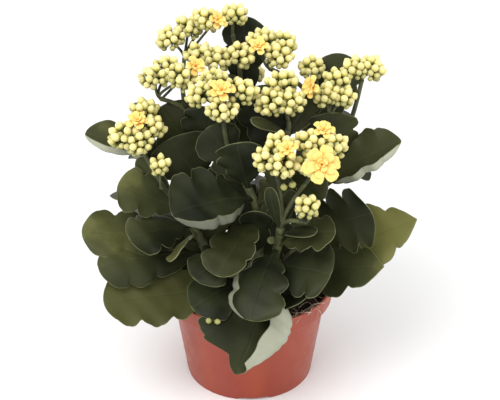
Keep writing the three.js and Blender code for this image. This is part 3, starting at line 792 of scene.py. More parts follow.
@dataclass(frozen=True)
class RootFinish:
    """Pinkish fibres and pale grit on the soil."""

    pink: Colour = (0.42, 0.24, 0.18)
    pale: Colour = (0.55, 0.46, 0.38)

    def make(self) -> bpy.types.Material:
        """Builds the material.

        Returns:
            The material.
        """
        g = Graph("root_fibre")
        colour = g.mix(g.span(g.noise(160.0, 3.0), 0.4, 0.6), self.pink, self.pale)
        g.dress(Base_Color=colour, Roughness=0.8, Normal=g.bump(g.noise(900.0), 0.0002, 0.5))
        return g.material


# ---- Leaves and shoots ----


@dataclass(frozen=True)
class Leaf:
    """One leaf: where it leaves its shoot, where it ends, and how it is bent and cut.

    Attributes:
        at: The share of the stem where it leaves.
        tip: Where its midrib ends.
        face: Where its upper side looks.
        width: Its width, were both halves like the right one.
        arch: How far the midrib's control point stands out towards the face, in lengths of the leaf.
        cup: How far its edges rise, in half-widths. Below 0 they fall.
        roll_left: The angle through which its left edge folds up, in radians.
        roll_right: The same for its right edge.
        roll_from: The share of the half-width where a fold begins.
        taper: How sharply it narrows to its end.
        lobes: How many lobes each edge has. With 0 it is a small plain leaf.
        left_width: The left half's width over the right one's.
        left_taper: The left half's own taper, if it has one.
        notches: How deep the gaps between its left and its right lobes are, 1 being the usual depth.
        step: The share of the blade past which the right half is narrower, and how much of it is kept.
        tone: How fresh a green its face is.
        pale: How pale its underside is.
    """

    at: float
    tip: Point
    face: Point
    width: float
    arch: float
    cup: float = 0.0
    roll_left: float = 0.0
    roll_right: float = 0.0
    roll_from: float = 0.62
    taper: float = 0.42
    lobes: int = 3
    left_width: float = 1.0
    left_taper: float | None = None
    notches: tuple[float, float] = (1.0, 1.0)
    step: tuple[float, float] = (1.0, 1.0)
    tone: float = 0.0
    pale: float = 1.0


@dataclass
class Blade:
    """A leaf's grid: a row for each ring along the midrib, and a column for each place across it.

    Attributes:
        length: The distance from the leaf's root to its tip.
        along: Each row's share of the midrib.
        share: Each row's share of the blade, which begins where the petiole ends.
        across: Each column's place, from -1 at the left edge to 1 at the right one.
        full: Each place's share of the greatest width, lobes left out.
        half_width: Half the leaf's width at each place.
        midrib: Each row's point of the midrib.
        normal: Each row's upward direction, square to the midrib.
        side: The one sideways direction.
    """

    length: float
    along: Array
    share: Array
    across: Array
    full: Array
    half_width: Array
    midrib: Array
    normal: Array
    side: Array

    def halves(self, left: float, right: float) -> Array:
        """One value for each column: the left half's or the right half's."""
        return np.where(self.across < 0.0, left, right)

    def reach(self) -> Array:
        """How far out each column lies, from 0 at the midrib to 1 at an edge."""
        return np.abs(self.across)[None, :]


@dataclass
class LeafShape:
    """Turns a leaf's numbers into its two-sided surface.

    Attributes:
        thickness: The blade's thickness.
        petiole_thickness: The petiole's thickness.
        petiole_half_width: Half the petiole's width.
        petiole_share: The petiole's share of the leaf.
        plain_scale: A plain leaf's petiole and thickness, over a lobed one's.
        notch: How deep the gaps between lobes are, as a share of the half-width.
        notch_spread: How much that depth differs from leaf to leaf.
        tooth: How deep the fine teeth are.
        teeth: Fine teeth for each lobe.
        scallop_span: The shares of the blade between which lobes and teeth grow to their full depth.
        step_reach: How far a step's slope reaches on either side of its place.
        roll_span: The share of the half-width that bends in a fold.
        rise: How sharply the blade widens from its foot.
        petiole_rings: Rings along the petiole.
        blade_rings: Rings along the blade.
        last_share: Where the last ring stands on the blade.
        groove: How deep the midrib's groove is above, and how far it reaches sideways.
        keel: How far the midrib stands out below, and how far it reaches sideways.
        ripple: How high the edge's waves are, one for each lobe.
        swell: How high the blade's slow swells are, and their size.
        curl: How much the edges' curl differs, and how far down the lowest lie, in half-widths.
        columns: Places across one half, closer together near the edge.
    """

    thickness: float = 1.3
    petiole_thickness: float = 3.0
    petiole_half_width: float = 2.1
    petiole_share: float = 0.16
    plain_scale: float = 0.7
    notch: float = 0.36
    notch_spread: float = 0.24
    tooth: float = 0.035
    teeth: float = 2.6
    scallop_span: tuple[float, float] = (0.08, 0.36)
    step_reach: float = 0.02
    roll_span: float = 0.13
    rise: float = 0.85
    petiole_rings: int = 8
    blade_rings: int = 64
    last_share: float = 0.9994
    groove: tuple[float, float] = (0.25, 0.9)
    keel: tuple[float, float] = (0.8, 1.3)
    ripple: float = 1.3
    swell: tuple[float, float] = (0.7, 21.0)
    curl: tuple[float, float] = (0.3, 0.2)
    columns: tuple[float, ...] = (
        0.0, 0.03, 0.07, 0.13, 0.22, 0.34, 0.46, 0.56, 0.64, 0.72, 0.79, 0.86, 0.915, 0.955, 0.985, 1.0,
    )

    def scale(self, leaf: Leaf) -> float:
        """A lobed leaf's petiole and thickness are full, and a plain one's are smaller."""
        return 1.0 if leaf.lobes else self.plain_scale

    def outline(self, share: Array, taper: float) -> Array:
        """The half-width's share of its greatest: (s / w)^rise times ((1 - s) / (1 - w))^taper.

        Args:
            share: Shares of the blade's length, s in the formula.
            taper: How sharply the leaf narrows. It puts the widest place at w = rise / (rise + taper).

        Returns:
            Shares from 0 to 1.
        """
        widest = self.rise / (self.rise + taper)
        tail = np.maximum(0.0, 1.0 - share) / (1.0 - widest)
        return (share / widest) ** self.rise * tail**taper

    def scallop(self, share: Array, leaf: Leaf, deepen: float, shift: float) -> Array:
        """The wavy edge: the root of a sine's size gives round lobes with a sharp notch between.

        Args:
            share: Shares of the blade's length.
            leaf: The leaf's numbers.
            deepen: How deep the gaps are, 1 being the usual depth.
            shift: How far the lobes slide along the edge.

        Returns:
            What share of the half-width is left.
        """
        if not leaf.lobes:
            return np.ones_like(share)
        sway = shift * np.sin(np.pi * share) ** 2
        lobe = np.sqrt(np.abs(np.sin(np.pi * (leaf.lobes * share + sway))))
        tooth = np.abs(np.sin(np.pi * (self.teeth * leaf.lobes * share + 7.0 * shift)))
        depth = deepen * (self.notch + self.notch_spread * shift)
        grown = smooth(share, *self.scallop_span)
        return 1.0 - grown * (depth * (1.0 - lobe) + self.tooth * (1.0 - tooth))

    def half_width(self, share: Array, leaf: Leaf, full: Array, side: int, shift: float) -> Array:
        """Half the leaf's width along it: the outline times the scallop, and the petiole's foot.

        Args:
            share: Shares of the blade's length.
            leaf: The leaf's numbers.
            full: The outline at the shares.
            side: 0 for the left half, 1 for the right one.
            shift: How far its lobes slide along the edge.

        Returns:
            Half widths in millimetres.
        """
        foot = self.petiole_half_width * self.scale(leaf) * (1.0 - full) * (1.0 - share)
        widest = leaf.width / 2.0 * (1.0 if side else leaf.left_width)
        if side:
            place, kept = leaf.step
            stepped = smooth(share, place - self.step_reach, place + self.step_reach)
            widest = widest * (1.0 - (1.0 - kept) * stepped)
        return foot + widest * full * self.scallop(share, leaf, leaf.notches[side], shift)

    def grid(self, root: Array, leaf: Leaf, seed: float) -> Blade:
        """Lays out the leaf's grid.

        The midrib is a quadratic curve from root to tip that bows towards the face. Rings stand closer
        together towards the tip, by the square of what is left of the blade.

        Args:
            root: Where the leaf leaves its shoot.
            leaf: Its numbers.
            seed: What its small unevenness is drawn from.

        Returns:
            The grid.
        """
        tip = np.array(leaf.tip)
        length = float(np.linalg.norm(tip - root))
        chord = (tip - root) / length
        face = np.array(leaf.face)
        face = unit(face - chord * (face @ chord))
        side = np.cross(chord, face)
        curve = np.stack([root, (root + tip) / 2.0 + face * leaf.arch * length, tip])
        petiole = np.linspace(0.0, self.petiole_share, self.petiole_rings + 1)[:-1]
        left_over = 1.0 - np.linspace(0.0, 1.0, self.blade_rings)
        blade = np.minimum(1.0 - left_over**2, self.last_share)
        along = np.concatenate([petiole, self.petiole_share + (1.0 - self.petiole_share) * blade])
        share = np.clip((along - self.petiole_share) / (1.0 - self.petiole_share), 0.0, 1.0)
        tapers = (leaf.taper if leaf.left_taper is None else leaf.left_taper, leaf.taper)
        shifts = (draw(seed) - 0.5, draw(seed + 0.3) - 0.5)
        full = [self.outline(share, taper) for taper in tapers]
        half_width = [self.half_width(share, leaf, full[i], i, shifts[i]) for i in (0, 1)]
        across = np.array([-x for x in self.columns[:0:-1]] + list(self.columns))
        left = across < 0.0
        return Blade(
            length=length,
            along=along,
            share=share,
            across=across,
            full=np.where(left, full[0][:, None], full[1][:, None]),
            half_width=np.where(left, half_width[0][:, None], half_width[1][:, None]),
            midrib=bezier(curve, along),
            normal=np.cross(side, bezier_slope(curve, along)),
            side=side,
        )

    def fold(self, leaf: Leaf, blade: Blade) -> tuple[Array, Array, Array]:
        """Cups and folds the blade.

        A place rises by the cup's square law. Past roll_from a folded edge follows an arc as long as
        roll_span and then runs on straight.

        Args:
            leaf: The leaf's numbers.
            blade: Its grid.

        Returns:
            How far out and how far up each place lies, in half-widths, and how far its face leans inwards.
        """
        reach = blade.reach()
        asked = blade.halves(leaf.roll_left, leaf.roll_right)
        roll = asked * np.minimum(1.0, 3.0 * blade.full)
        flat = np.where(asked > 0.0, np.minimum(reach, leaf.roll_from), reach)
        arc = np.minimum(reach - flat, self.roll_span)
        run = reach - flat - arc
        bend = np.maximum(roll, 1e-6) / self.roll_span
        turn = bend * arc
        out = flat + np.sin(turn) / bend + run * np.cos(turn)
        rise = leaf.cup * flat**2 + (1.0 - np.cos(turn)) / bend + run * np.sin(turn)
        lean = turn + np.arctan(2.0 * leaf.cup * np.minimum(reach, leaf.roll_from))
        return out, rise, lean

    def lift(self, leaf: Leaf, blade: Blade, middle: Array, seed: float) -> Array:
        """How far a lobed leaf's places are lifted: waves at the edges, slow swells and a curl.

        Args:
            leaf: The leaf's numbers.
            blade: Its grid.
            middle: The grid's points.
            seed: What the unevenness is drawn from.

        Returns:
            Lifts in millimetres.
        """
        reach = blade.reach()
        start = blade.halves(draw(seed + 0.6), draw(seed + 0.9))
        phase = 2.0 * np.pi * (leaf.lobes * blade.share[:, None] + start)
        height, size = self.swell
        spread, down = self.curl
        ripple = self.ripple * (0.6 + 0.8 * draw(seed + 0.2)) * blade.full * reach**3 * np.sin(phase)
        curl = blade.halves(draw(seed + 0.35), draw(seed + 0.75)) * spread - down
        unfolded = blade.halves(leaf.roll_left, leaf.roll_right) == 0.0
        lift = ripple + height * blade.full * wobble(middle, size, seed)
        lift = lift + curl * unfolded * reach**4 * blade.half_width
        return lift * (leaf.lobes > 0)

    def half_thickness(self, leaf: Leaf, blade: Blade) -> Array:
        """Half the thickness: the petiole's thins out into the blade's, and the edges are rounded.

        Args:
            leaf: The leaf's numbers.
            blade: Its grid.

        Returns:
            Half thicknesses in millimetres.
        """
        power = 2.0 + 6.0 * smooth(blade.along, self.petiole_share, 0.35)[:, None]
        thinned = np.minimum(1.0, blade.along / 0.3)
        thickness = self.petiole_thickness + (self.thickness - self.petiole_thickness) * thinned
        edge = np.sqrt(np.maximum(0.0, 1.0 - blade.reach() ** power))
        end = np.sqrt(np.maximum(0.04, 1.0 - blade.share**40))
        return 0.5 * self.scale(leaf) * thickness[:, None] * edge * end[:, None]

    def marks(self, leaf: Leaf, blade: Blade, seed: float) -> dict[str, Array]:
        """What the leaf's finish reads.

        Args:
            leaf: The leaf's numbers.
            blade: Its grid.
            seed: What its freshness is drawn from.

        Returns:
            The distance from the edge in millimetres, the underside's share, and the freshness.
        """
        share = blade.share[:, None]
        edge = np.minimum((1.0 - blade.reach()) * blade.half_width, (1.0 - share) * blade.length)
        edge = edge + 3.0 * (1.0 - smooth(share, 0.0, 0.12))
        columns = len(blade.across)
        under = np.concatenate([np.zeros(columns), np.ones(columns - 2)])
        under[[0, columns - 1]] = 0.5
        tone = leaf.tone + 0.12 * (draw(seed + 0.5) - 0.3)
        return {
            "edge": two_sided(edge, edge)[None],
            "under": (leaf.pale * under * smooth(share, 0.0, 0.2))[None],
            "tone": np.full((1, 1, 1), max(0.0, tone)),
        }

    def build(self, root: Array, leaf: Leaf, seed: float) -> Surface:
        """The leaf's surface.

        A point lies out from the midrib along the sideways direction and up from it. Half the thickness,
        less the groove above and with the keel below, is added along the face's own direction.

        Args:
            root: Where the leaf leaves its shoot.
            leaf: Its numbers.
            seed: What its small unevenness is drawn from.

        Returns:
            A closed surface with its metric UV, and its edge, under and tone marks.
        """
        blade = self.grid(root, leaf, seed)
        out, rise, lean = self.fold(leaf, blade)
        sign = np.sign(blade.across)
        facing = (
            blade.normal[:, None] * np.cos(lean)[..., None]
            - blade.side * (sign * np.sin(lean))[..., None]
        )
        middle = (
            blade.midrib[:, None]
            + blade.side * (sign * out * blade.half_width)[..., None]
            + blade.normal[:, None] * (rise * blade.half_width)[..., None]
        )
        middle = middle + facing * self.lift(leaf, blade, middle, seed)[..., None]
        half = self.half_thickness(leaf, blade)
        away = blade.reach() * blade.half_width
        fade = smooth(blade.share, 0.02, 0.12)[:, None] * (1.0 - blade.share[:, None]) ** 0.4
        groove = self.groove[0] * fade * np.exp(-((away / self.groove[1]) ** 2))
        keel = self.keel[0] * fade * np.exp(-((away / self.keel[1]) ** 2))
        upper = middle + facing * (half - groove)[..., None]
        lower = middle - facing * (half + keel)[..., None]
        lengthways = np.broadcast_to(blade.along[:, None] * blade.length * UV_PER_MM, away.shape)
        uv = np.stack([0.5 + sign * away * UV_PER_MM, lengthways], axis=-1)
        return skins(
            two_sided(upper, lower)[None], 0, two_sided(uv, uv)[None], **self.marks(leaf, blade, seed)
        )


@dataclass
class Shoot:
    """A leafy stem, its leaves, and the stalks of its heads.

    Attributes:
        name: Its name.
        path: The control points of its cubic curve, from the soil to its fork.
        radii: Its radii at both ends.
        leaves: Its leaves.
        stalk_radius: A stalk's radius at a head.
        stalk_taper: How much thicker a stalk is at the fork.
        joint_height: How far the stem swells at a leaf.
        joint_share: How far along the stem a swelling reaches.
        shape: What all its leaves have in common.
    """

    name: str
    path: tuple[Point, Point, Point, Point]
    radii: tuple[float, float]
    leaves: tuple[Leaf, ...]
    stalk_radius: float = 1.5
    stalk_taper: float = 0.3
    joint_height: float = 0.5
    joint_share: float = 0.02
    shape: LeafShape = field(default_factory=LeafShape)

    def point(self, share: float) -> Array:
        """A point of the stem."""
        return bezier(np.array(self.path), np.array([share]))[0]

    def stem(self) -> Surface:
        """The stem: a tapering tube, swollen a little at each leaf by a bell-shaped bulge.

        Returns:
            Its surface.
        """
        t = np.linspace(0.0, 1.0, 60)
        radius = self.radii[0] + (self.radii[1] - self.radii[0]) * t
        for leaf in self.leaves:
            radius = radius + self.joint_height * np.exp(-(((t - leaf.at) / self.joint_share) ** 2))
        return tubes(bezier(np.array(self.path), t)[None], radius[None], 18, 1)

    def stalk(self, base: Point) -> Array:
        """The stalk from the fork to a head: a quadratic curve that sets out along the stem.

        Args:
            base: The head's base.

        Returns:
            The curve's control points.
        """
        path = np.array(self.path)
        fork, end = path[3], np.array(base)
        bend = fork + unit(path[3] - path[2]) * 0.45 * np.linalg.norm(end - fork)
        return np.stack([fork, bend, end])

    def build(self, bases: list[Point], seed: float, finishes: list[bpy.types.Material]) -> None:
        """Makes the shoot's piece.

        Args:
            bases: The bases of the heads that it carries.
            seed: What its leaves' unevenness is drawn from.
            finishes: The leaf's and the stem's materials.
        """
        piece = Piece(f"foliage_{self.name}")
        piece.add(self.stem())
        for i, leaf in enumerate(self.leaves):
            piece.add(self.shape.build(self.point(leaf.at), leaf, seed + 1.7 * i))
        t = np.linspace(0.0, 1.0, 24)
        for base in bases:
            radius = self.stalk_radius + self.stalk_taper * (1.0 - t)
            piece.add(tubes(bezier(self.stalk(base), t)[None], radius[None], 12, 1))
        piece.write(finishes, Slot.LEAF, f"shoot_{self.name}")


SHOOTS: tuple[Shoot, ...] = (
    Shoot(
        "front",
        ((10, -16, 52), (14, -24, 92), (19, -36, 118), (21, -45, 142)),
        (4.2, 2.4),
        (
            Leaf(
                0.33, (-9, -93, 57), (0.25, -0.6, 0.75), 76, 0.3, 0.1, roll_left=2.6, roll_from=0.45,
                taper=0.55, left_width=1.22, left_taper=1.1, notches=(0.1, 0.6), step=(0.84, 0.34), lobes=4,
            ),
            Leaf(0.4, (-38, -70, 94), (-0.3, -0.6, 0.75), 38, 0.2, -0.1),
            Leaf(
                0.72, (0, -90, 98), (-0.15, -0.6, 0.75), 53, 0.22, 0.2, roll_right=2.2, roll_from=0.6,
                left_width=0.79, notches=(1, 0.4), pale=0.55,
            ),
            Leaf(0.5, (54, -60, 114), (0.2, -0.7, 0.7), 43, 0.15, 0.1),
            Leaf(0.76, (56, -60, 147), (0.1, -0.6, 0.8), 28, 0.15, 0.1),
            Leaf(0.9, (43, -68, 151), (0.05, -0.5, 0.85), 11, 0.1, lobes=0),
            Leaf(0.96, (13, -55, 177), (-0.3, -0.9, 0.2), 10, 0.1, lobes=0),
            Leaf(0.96, (28, -41, 168), (0, -0.95, 0.1), 10, 0.1, lobes=0),
            Leaf(0.22, (36, -58, 92), (0.3, -0.7, 0.7), 30, 0.2),
        ),
    ),
    Shoot(
        "front_left",
        ((-2, -15, 52), (6, -22, 100), (14, -28, 140), (-3, -23, 163)),
        (3.8, 2.2),
        (
            Leaf(
                0.86, (-50, -62, 161), (-0.3, -0.65, 0.75), 58, 0.16, 0.12, roll_left=2.4, roll_from=0.7,
                taper=0.6, notches=(0.5, 1), pale=0.28,
            ),
            Leaf(0.68, (-20, -78, 124), (-0.2, -0.5, 0.85), 36, 0.2, 0.22),
            Leaf(0.52, (-36, -70, 117), (-0.4, -0.7, 0.6), 34, 0.2, -0.12),
            Leaf(0.92, (-27, -14, 201), (-0.1, -0.95, 0.2), 34, 0.05),
            Leaf(0.8, (26, -36, 176), (-0.1, -0.95, 0.3), 28, 0.05),
            Leaf(0.95, (-8, -37, 200), (-0.1, -0.95, 0.3), 34, 0.08),
            Leaf(0.42, (4, -37, 150), (-0.1, -0.95, 0.3), 24, 0.05, lobes=2),
            Leaf(
                0.2, (-98, -60, 92), (-0.1, -0.6, 0.8), 47, 0.04, 0.08, notches=(0.6, 0.6), lobes=5,
                tone=0.12,
            ),
        ),
    ),
    Shoot(
        "left",
        ((-18, -4, 52), (-24, -6, 95), (-38, -14, 125), (-53, -18, 150)),
        (4, 2.2),
        (
            Leaf(0.36, (-86, -24, 96), (-0.1, -0.5, 0.85), 28, 0.15),
            Leaf(0.42, (-102, -48, 113), (-0.05, -0.6, 0.8), 40, 0.15, -0.14),
            Leaf(0.6, (-50, -60, 126), (-0.6, -0.3, 0.6), 18, 0.15, lobes=2, tone=0.3),
            Leaf(0.52, (-114, -30, 130), (-0.2, -0.55, 0.8), 38, 0.06, 0.1),
            Leaf(0.7, (-80, -49, 136), (-0.1, -0.7, 0.7), 34, 0.15, -0.1),
            Leaf(0.84, (-88, -26, 164), (-0.2, -0.7, 0.65), 34, 0.12, 0.1),
            Leaf(0.93, (-75, -14, 178), (-0.5, -0.7, 0.5), 16, 0.05, lobes=2),
        ),
    ),
    Shoot(
        "back_left",
        ((-10, 8, 52), (-22, 8, 110), (-30, 6, 160), (-42, 14, 196)),
        (4.2, 2.2),
        (
            Leaf(0.62, (-112, 4, 188), (-0.3, -0.4, 0.85), 34, 0.15, 0.1, roll_left=2.0),
            Leaf(0.55, (-54, -5, 188), (-0.1, -0.95, 0.3), 46, 0.1),
            Leaf(0.68, (-60, 14, 204), (-0.1, -0.9, 0.35), 40, 0.05),
            Leaf(0.7, (-26, 4, 207), (-0.1, -0.95, 0.3), 40, 0.05),
            Leaf(0.3, (-92, 44, 104), (-0.3, 0.3, 0.9), 44, 0.25),
            Leaf(0.14, (-43, -3, 124), (-0.1, -0.95, 0.3), 50, 0.05, lobes=2),
            Leaf(0.42, (-100, 24, 130), (-0.3, 0.2, 0.9), 38, 0.2),
            Leaf(0.52, (-84, 60, 148), (-0.3, 0.4, 0.85), 40, 0.2),
            Leaf(0.78, (-80, 52, 190), (-0.2, 0.4, 0.9), 32, 0.15),
        ),
    ),
    Shoot(
        "centre",
        ((2, -1, 52), (4, -4, 120), (14, -6, 160), (26, -8, 196)),
        (4, 2),
        (
            Leaf(0.97, (1, -30, 212), (-0.2, -0.6, 0.75), 10, 0.1, lobes=0),
            Leaf(0.93, (44, 8, 214), (-0.1, -0.9, 0.4), 20, 0.05, lobes=2),
            Leaf(0.6, (50, -32, 176), (-0.1, -0.95, 0.3), 36, 0.1),
            Leaf(0.74, (6, 14, 219), (-0.1, -0.95, 0.3), 38, 0.05),
            Leaf(0.5, (30, -22, 150), (0.1, -0.9, 0.4), 34, 0.1),
            Leaf(0.36, (-29, -17, 170), (-0.1, -0.9, 0.4), 48, 0.05),
            Leaf(0.16, (27, -10, 126), (0, -0.95, 0.3), 34, 0.05, lobes=2),
        ),
    ),
    Shoot(
        "right",
        ((18, -4, 52), (26, -8, 100), (48, -6, 140), (66, 9, 184)),
        (4.2, 2.2),
        (
            Leaf(0.22, (91, -46, 112), (0.1, -0.7, 0.7), 44, 0.08, 0.1, taper=0.9),
            Leaf(0.27, (113, -32, 141), (0.05, -0.7, 0.7), 48, -0.06, 0.1, taper=0.9, lobes=4, tone=0.5),
            Leaf(0.5, (81, -44, 152), (0.1, -0.9, 0.35), 50, 0.12, 0.08, lobes=4),
            Leaf(0.72, (101, -16, 192), (0.1, -0.45, 0.85), 42, 0.12, 0.1, roll_right=1.9, taper=0.7),
            Leaf(0.8, (56, -2, 206), (0.1, -0.85, 0.4), 40, 0.05),
            Leaf(0.36, (98, 16, 112), (0.3, 0.1, 0.9), 40, 0.2),
        ),
    ),
    Shoot(
        "back_right",
        ((14, 12, 52), (26, 14, 120), (36, 18, 165), (42, 26, 196)),
        (4.2, 2.2),
        (
            Leaf(0.72, (69, 44, 229), (0.1, -0.9, 0.4), 36, 0.05),
            Leaf(0.28, (84, 56, 100), (0.3, 0.3, 0.9), 44, 0.25),
            Leaf(0.46, (86, 54, 136), (0.3, 0.2, 0.9), 38, 0.2),
            Leaf(0.58, (76, 66, 154), (0.3, 0.5, 0.8), 38, 0.2),
            Leaf(0.78, (66, 74, 176), (0.3, 0.4, 0.9), 32, 0.15),
            Leaf(0.2, (-12, 15, 130), (-0.1, -0.95, 0.3), 46, 0.05),
            Leaf(0.5, (-5, 21, 198), (-0.1, -0.95, 0.3), 42, 0.05, lobes=2),
        ),
    ),
    Shoot(
        "back",
        ((0, 20, 52), (-2, 28, 120), (-5, 38, 170), (-6, 44, 206)),
        (4.2, 2.2),
        (
            Leaf(0.82, (-3, 60, 252), (0, -0.9, 0.4), 34, 0.05),
            Leaf(0.28, (-38, 92, 96), (-0.2, 0.5, 0.8), 46, 0.25),
            Leaf(0.34, (36, 96, 102), (0.2, 0.5, 0.8), 46, 0.25),
            Leaf(0.5, (-4, 100, 132), (0, 0.5, 0.85), 44, 0.2),
            Leaf(0.62, (-52, 86, 158), (-0.3, 0.5, 0.8), 38, 0.2),
            Leaf(0.66, (44, 90, 166), (0.3, 0.5, 0.8), 38, 0.2),
            Leaf(0.84, (-30, 84, 200), (-0.2, 0.5, 0.8), 30, 0.15),
        ),
    ),
)


# ---- Flower heads and blooms ----


@dataclass(frozen=True)
class Bloom:
    """An open flower: whorls of petals round a heart, in a green calyx.

    Attributes:
        name: Its name.
        centre: Where its petals start.
        facing: The way that it faces.
        size: The length of its outer petals.
        double: Whether it has a fourth whorl.
    """

    name: str
    centre: Point
    facing: Point
    size: float
    double: bool = False

    def petals(self, count: int, length: float, tilt: float, turn: float, seed: float) -> Surface:
        """One whorl of petals.

        Along a petal the half-width grows with the share's power 0.6 from a narrow foot, and closes with
        the root of 1 - s^6. The midrib starts at the tilt and leans outwards by the share's square, the
        edges rise with the square of their distance from it, and a sine across the tip ruffles it. Each
        petal's turn, tilt, lean and length are a little its own.

        Args:
            count: How many petals.
            length: Their length.
            tilt: How steeply they rise, in radians.
            turn: Where the first one stands, in petals.
            seed: What their unevenness is drawn from.

        Returns:
            The whorl's surface.
        """
        facing = unit(np.array(self.facing))
        across, third = square_to(facing)
        k = np.arange(count)
        uneven = np.array([draw(seed + i) - 0.5 for i in k])
        angle = 2.0 * np.pi * (k + turn + 0.14 * uneven) / count
        radial = across * np.cos(angle)[:, None] + third * np.sin(angle)[:, None]
        along = np.cross(facing, radial)
        s = np.linspace(0.0, 1.0, 15)
        lean = (0.75 + 0.7 * uneven[::-1])[:, None] * s**2
        steep = (tilt + 0.3 * uneven)[:, None] - lean
        step = length * (1.0 + 0.24 * uneven)[:, None] / (len(s) - 1)
        out = 0.5 + sums_before(np.cos(steep) * step)
        height = sums_before(np.sin(steep) * step)
        closing = np.sqrt(np.maximum(0.0, 1.0 - s**6))
        half_width = (0.44 * length * (0.2 + 0.8 * s**0.6) * closing + 0.02)[:, None]
        v = np.array([-1.0, -0.75, -0.4, 0.0, 0.4, 0.75, 1.0])
        midrib = np.array(self.centre) + radial[:, None] * out[..., None] + facing * height[..., None]
        middle = midrib[:, :, None] + along[:, None, None] * (half_width * v)[None, :, :, None]
        cup = 0.30 * half_width * v**2 - 0.12 * half_width * np.abs(v) * (np.abs(v) < 0.5)
        ruffle = 0.05 * length * s[:, None] ** 2 * np.sin(2.6 * np.pi * v + 5.0 * uneven[:, None, None])
        normal = facing * np.cos(steep)[..., None] - radial[:, None] * np.sin(steep)[..., None]
        middle = middle + normal[:, :, None] * (cup[None] + ruffle)[..., None]
        half_thickness = 0.28 * np.sqrt(np.maximum(0.0, 1.0 - np.abs(v) ** 4))
        thick = normal[:, :, None] * half_thickness[:, None]
        return skins(two_sided(middle + thick, middle - thick, axis=2), 0, None, along=s[None, :, None])

    def calyx(self) -> Surface:
        """The green cup under the petals: a profile turned round the way that the flower faces.

        Returns:
            Its surface.
        """
        height = np.array([-3.0, -2.6, -1.8, -0.9, -0.2, 0.2])
        radius = np.array([0.9, 1.7, 2.1, 1.9, 1.6, 0.8])
        path = np.array(self.centre) + unit(np.array(self.facing)) * height[:, None]
        return tubes(path[None], radius[None], 12, 1)

    def build(self, seed: float, finishes: list[bpy.types.Material]) -> None:
        """Makes the bloom's piece: its whorls from the outside in, and the calyx under them.

        A whorl is a count of petals, their share of the size, their tilt, and where the first one stands.

        Args:
            seed: What its petals' unevenness is drawn from.
            finishes: The petal's and the stem's materials.
        """
        whorls = [(5, 1.0, 0.30, 0.0), (5, 0.8, 0.75, 0.5), (4, 0.5, 1.15, 0.2)]
        if self.double:
            whorls = [(6, 1.0, 0.24, 0.0), (5, 0.8, 0.5, 0.5), (4, 0.46, 0.95, 0.2), (3, 0.3, 1.3, 0.6)]
        piece = Piece(f"flower_{self.name}")
        for i, (count, share, tilt, turn) in enumerate(whorls):
            piece.add(self.petals(count, share * self.size, tilt, turn, seed + 7.0 * i))
        piece.add(self.calyx())
        piece.write(finishes, Slot.PETAL, f"bloom_{self.name}")


def bud_skins(centres: Array, axes: Array, radii: Array, grown: float, seed: int) -> Surface:
    """Buds: plump turned shapes whose upper half is faintly four-lobed and ends in a blunt point.

    Args:
        centres: Their middles.
        axes: The way that each one points.
        radii: Their radii.
        grown: The radius of a fully grown one. Smaller ones are greener.
        seed: The seed of their spin, stretch and ripeness.

    Returns:
        One surface with along running from 0 at the foot to 1 at the tip, and tone as the unripeness.
    """
    rng = np.random.default_rng(seed)
    height = np.array([-0.95, -0.82, -0.45, 0.1, 0.62, 1.0, 1.2])
    width = np.array([0.3, 0.68, 0.95, 1.02, 0.82, 0.42, 0.08])
    angle = np.linspace(0.0, 2.0 * np.pi, 8, endpoint=False)
    across, third = square_to(axes)
    spin = 2.0 * np.pi * rng.random(len(radii))
    turn = angle[None, :] + spin[:, None]
    circle = across[:, None] * np.cos(turn)[..., None] + third[:, None] * np.sin(turn)[..., None]
    lobed = 1.0 + 0.05 * np.cos(4.0 * angle)[None, None, :] * smooth(height, -0.4, 0.9)[None, :, None]
    stretch = 0.95 + 0.22 * rng.random(len(radii))
    rings = (
        centres[:, None, None]
        + axes[:, None, None] * (radii[:, None] * stretch[:, None] * height)[:, :, None, None]
        + circle[:, None] * ((radii[:, None] * width)[:, :, None] * lobed)[..., None]
    )
    along = (height - height[0]) / (height[-1] - height[0])
    uv = np.stack(np.broadcast_arrays(angle[None, :] / (2.0 * np.pi), along[:, None]), axis=-1)
    small = np.clip((0.95 * grown - radii) / grown * 2.4, 0.0, 1.0)
    unripe = np.clip(small + 0.25 * rng.random(len(radii)) - 0.08, 0.0, 1.0)
    return skins(
        rings,
        0,
        np.broadcast_to(uv, rings.shape[:3] + (2,)),
        along=along[None, :, None],
        tone=unripe[:, None, None],
    )


@dataclass
class Branching:
    """Where the parts of a head stand.

    Attributes:
        upwards: Its stalk's direction.
        root: The stalk's foot.
        fork: Where the stalk forks.
        places: The bunches' places.
        outward: The bunches' outward directions.
        necks: Where the stalks of each bunch's buds begin.
    """

    upwards: Array
    root: Array
    fork: Array
    places: Array
    outward: Array
    necks: Array


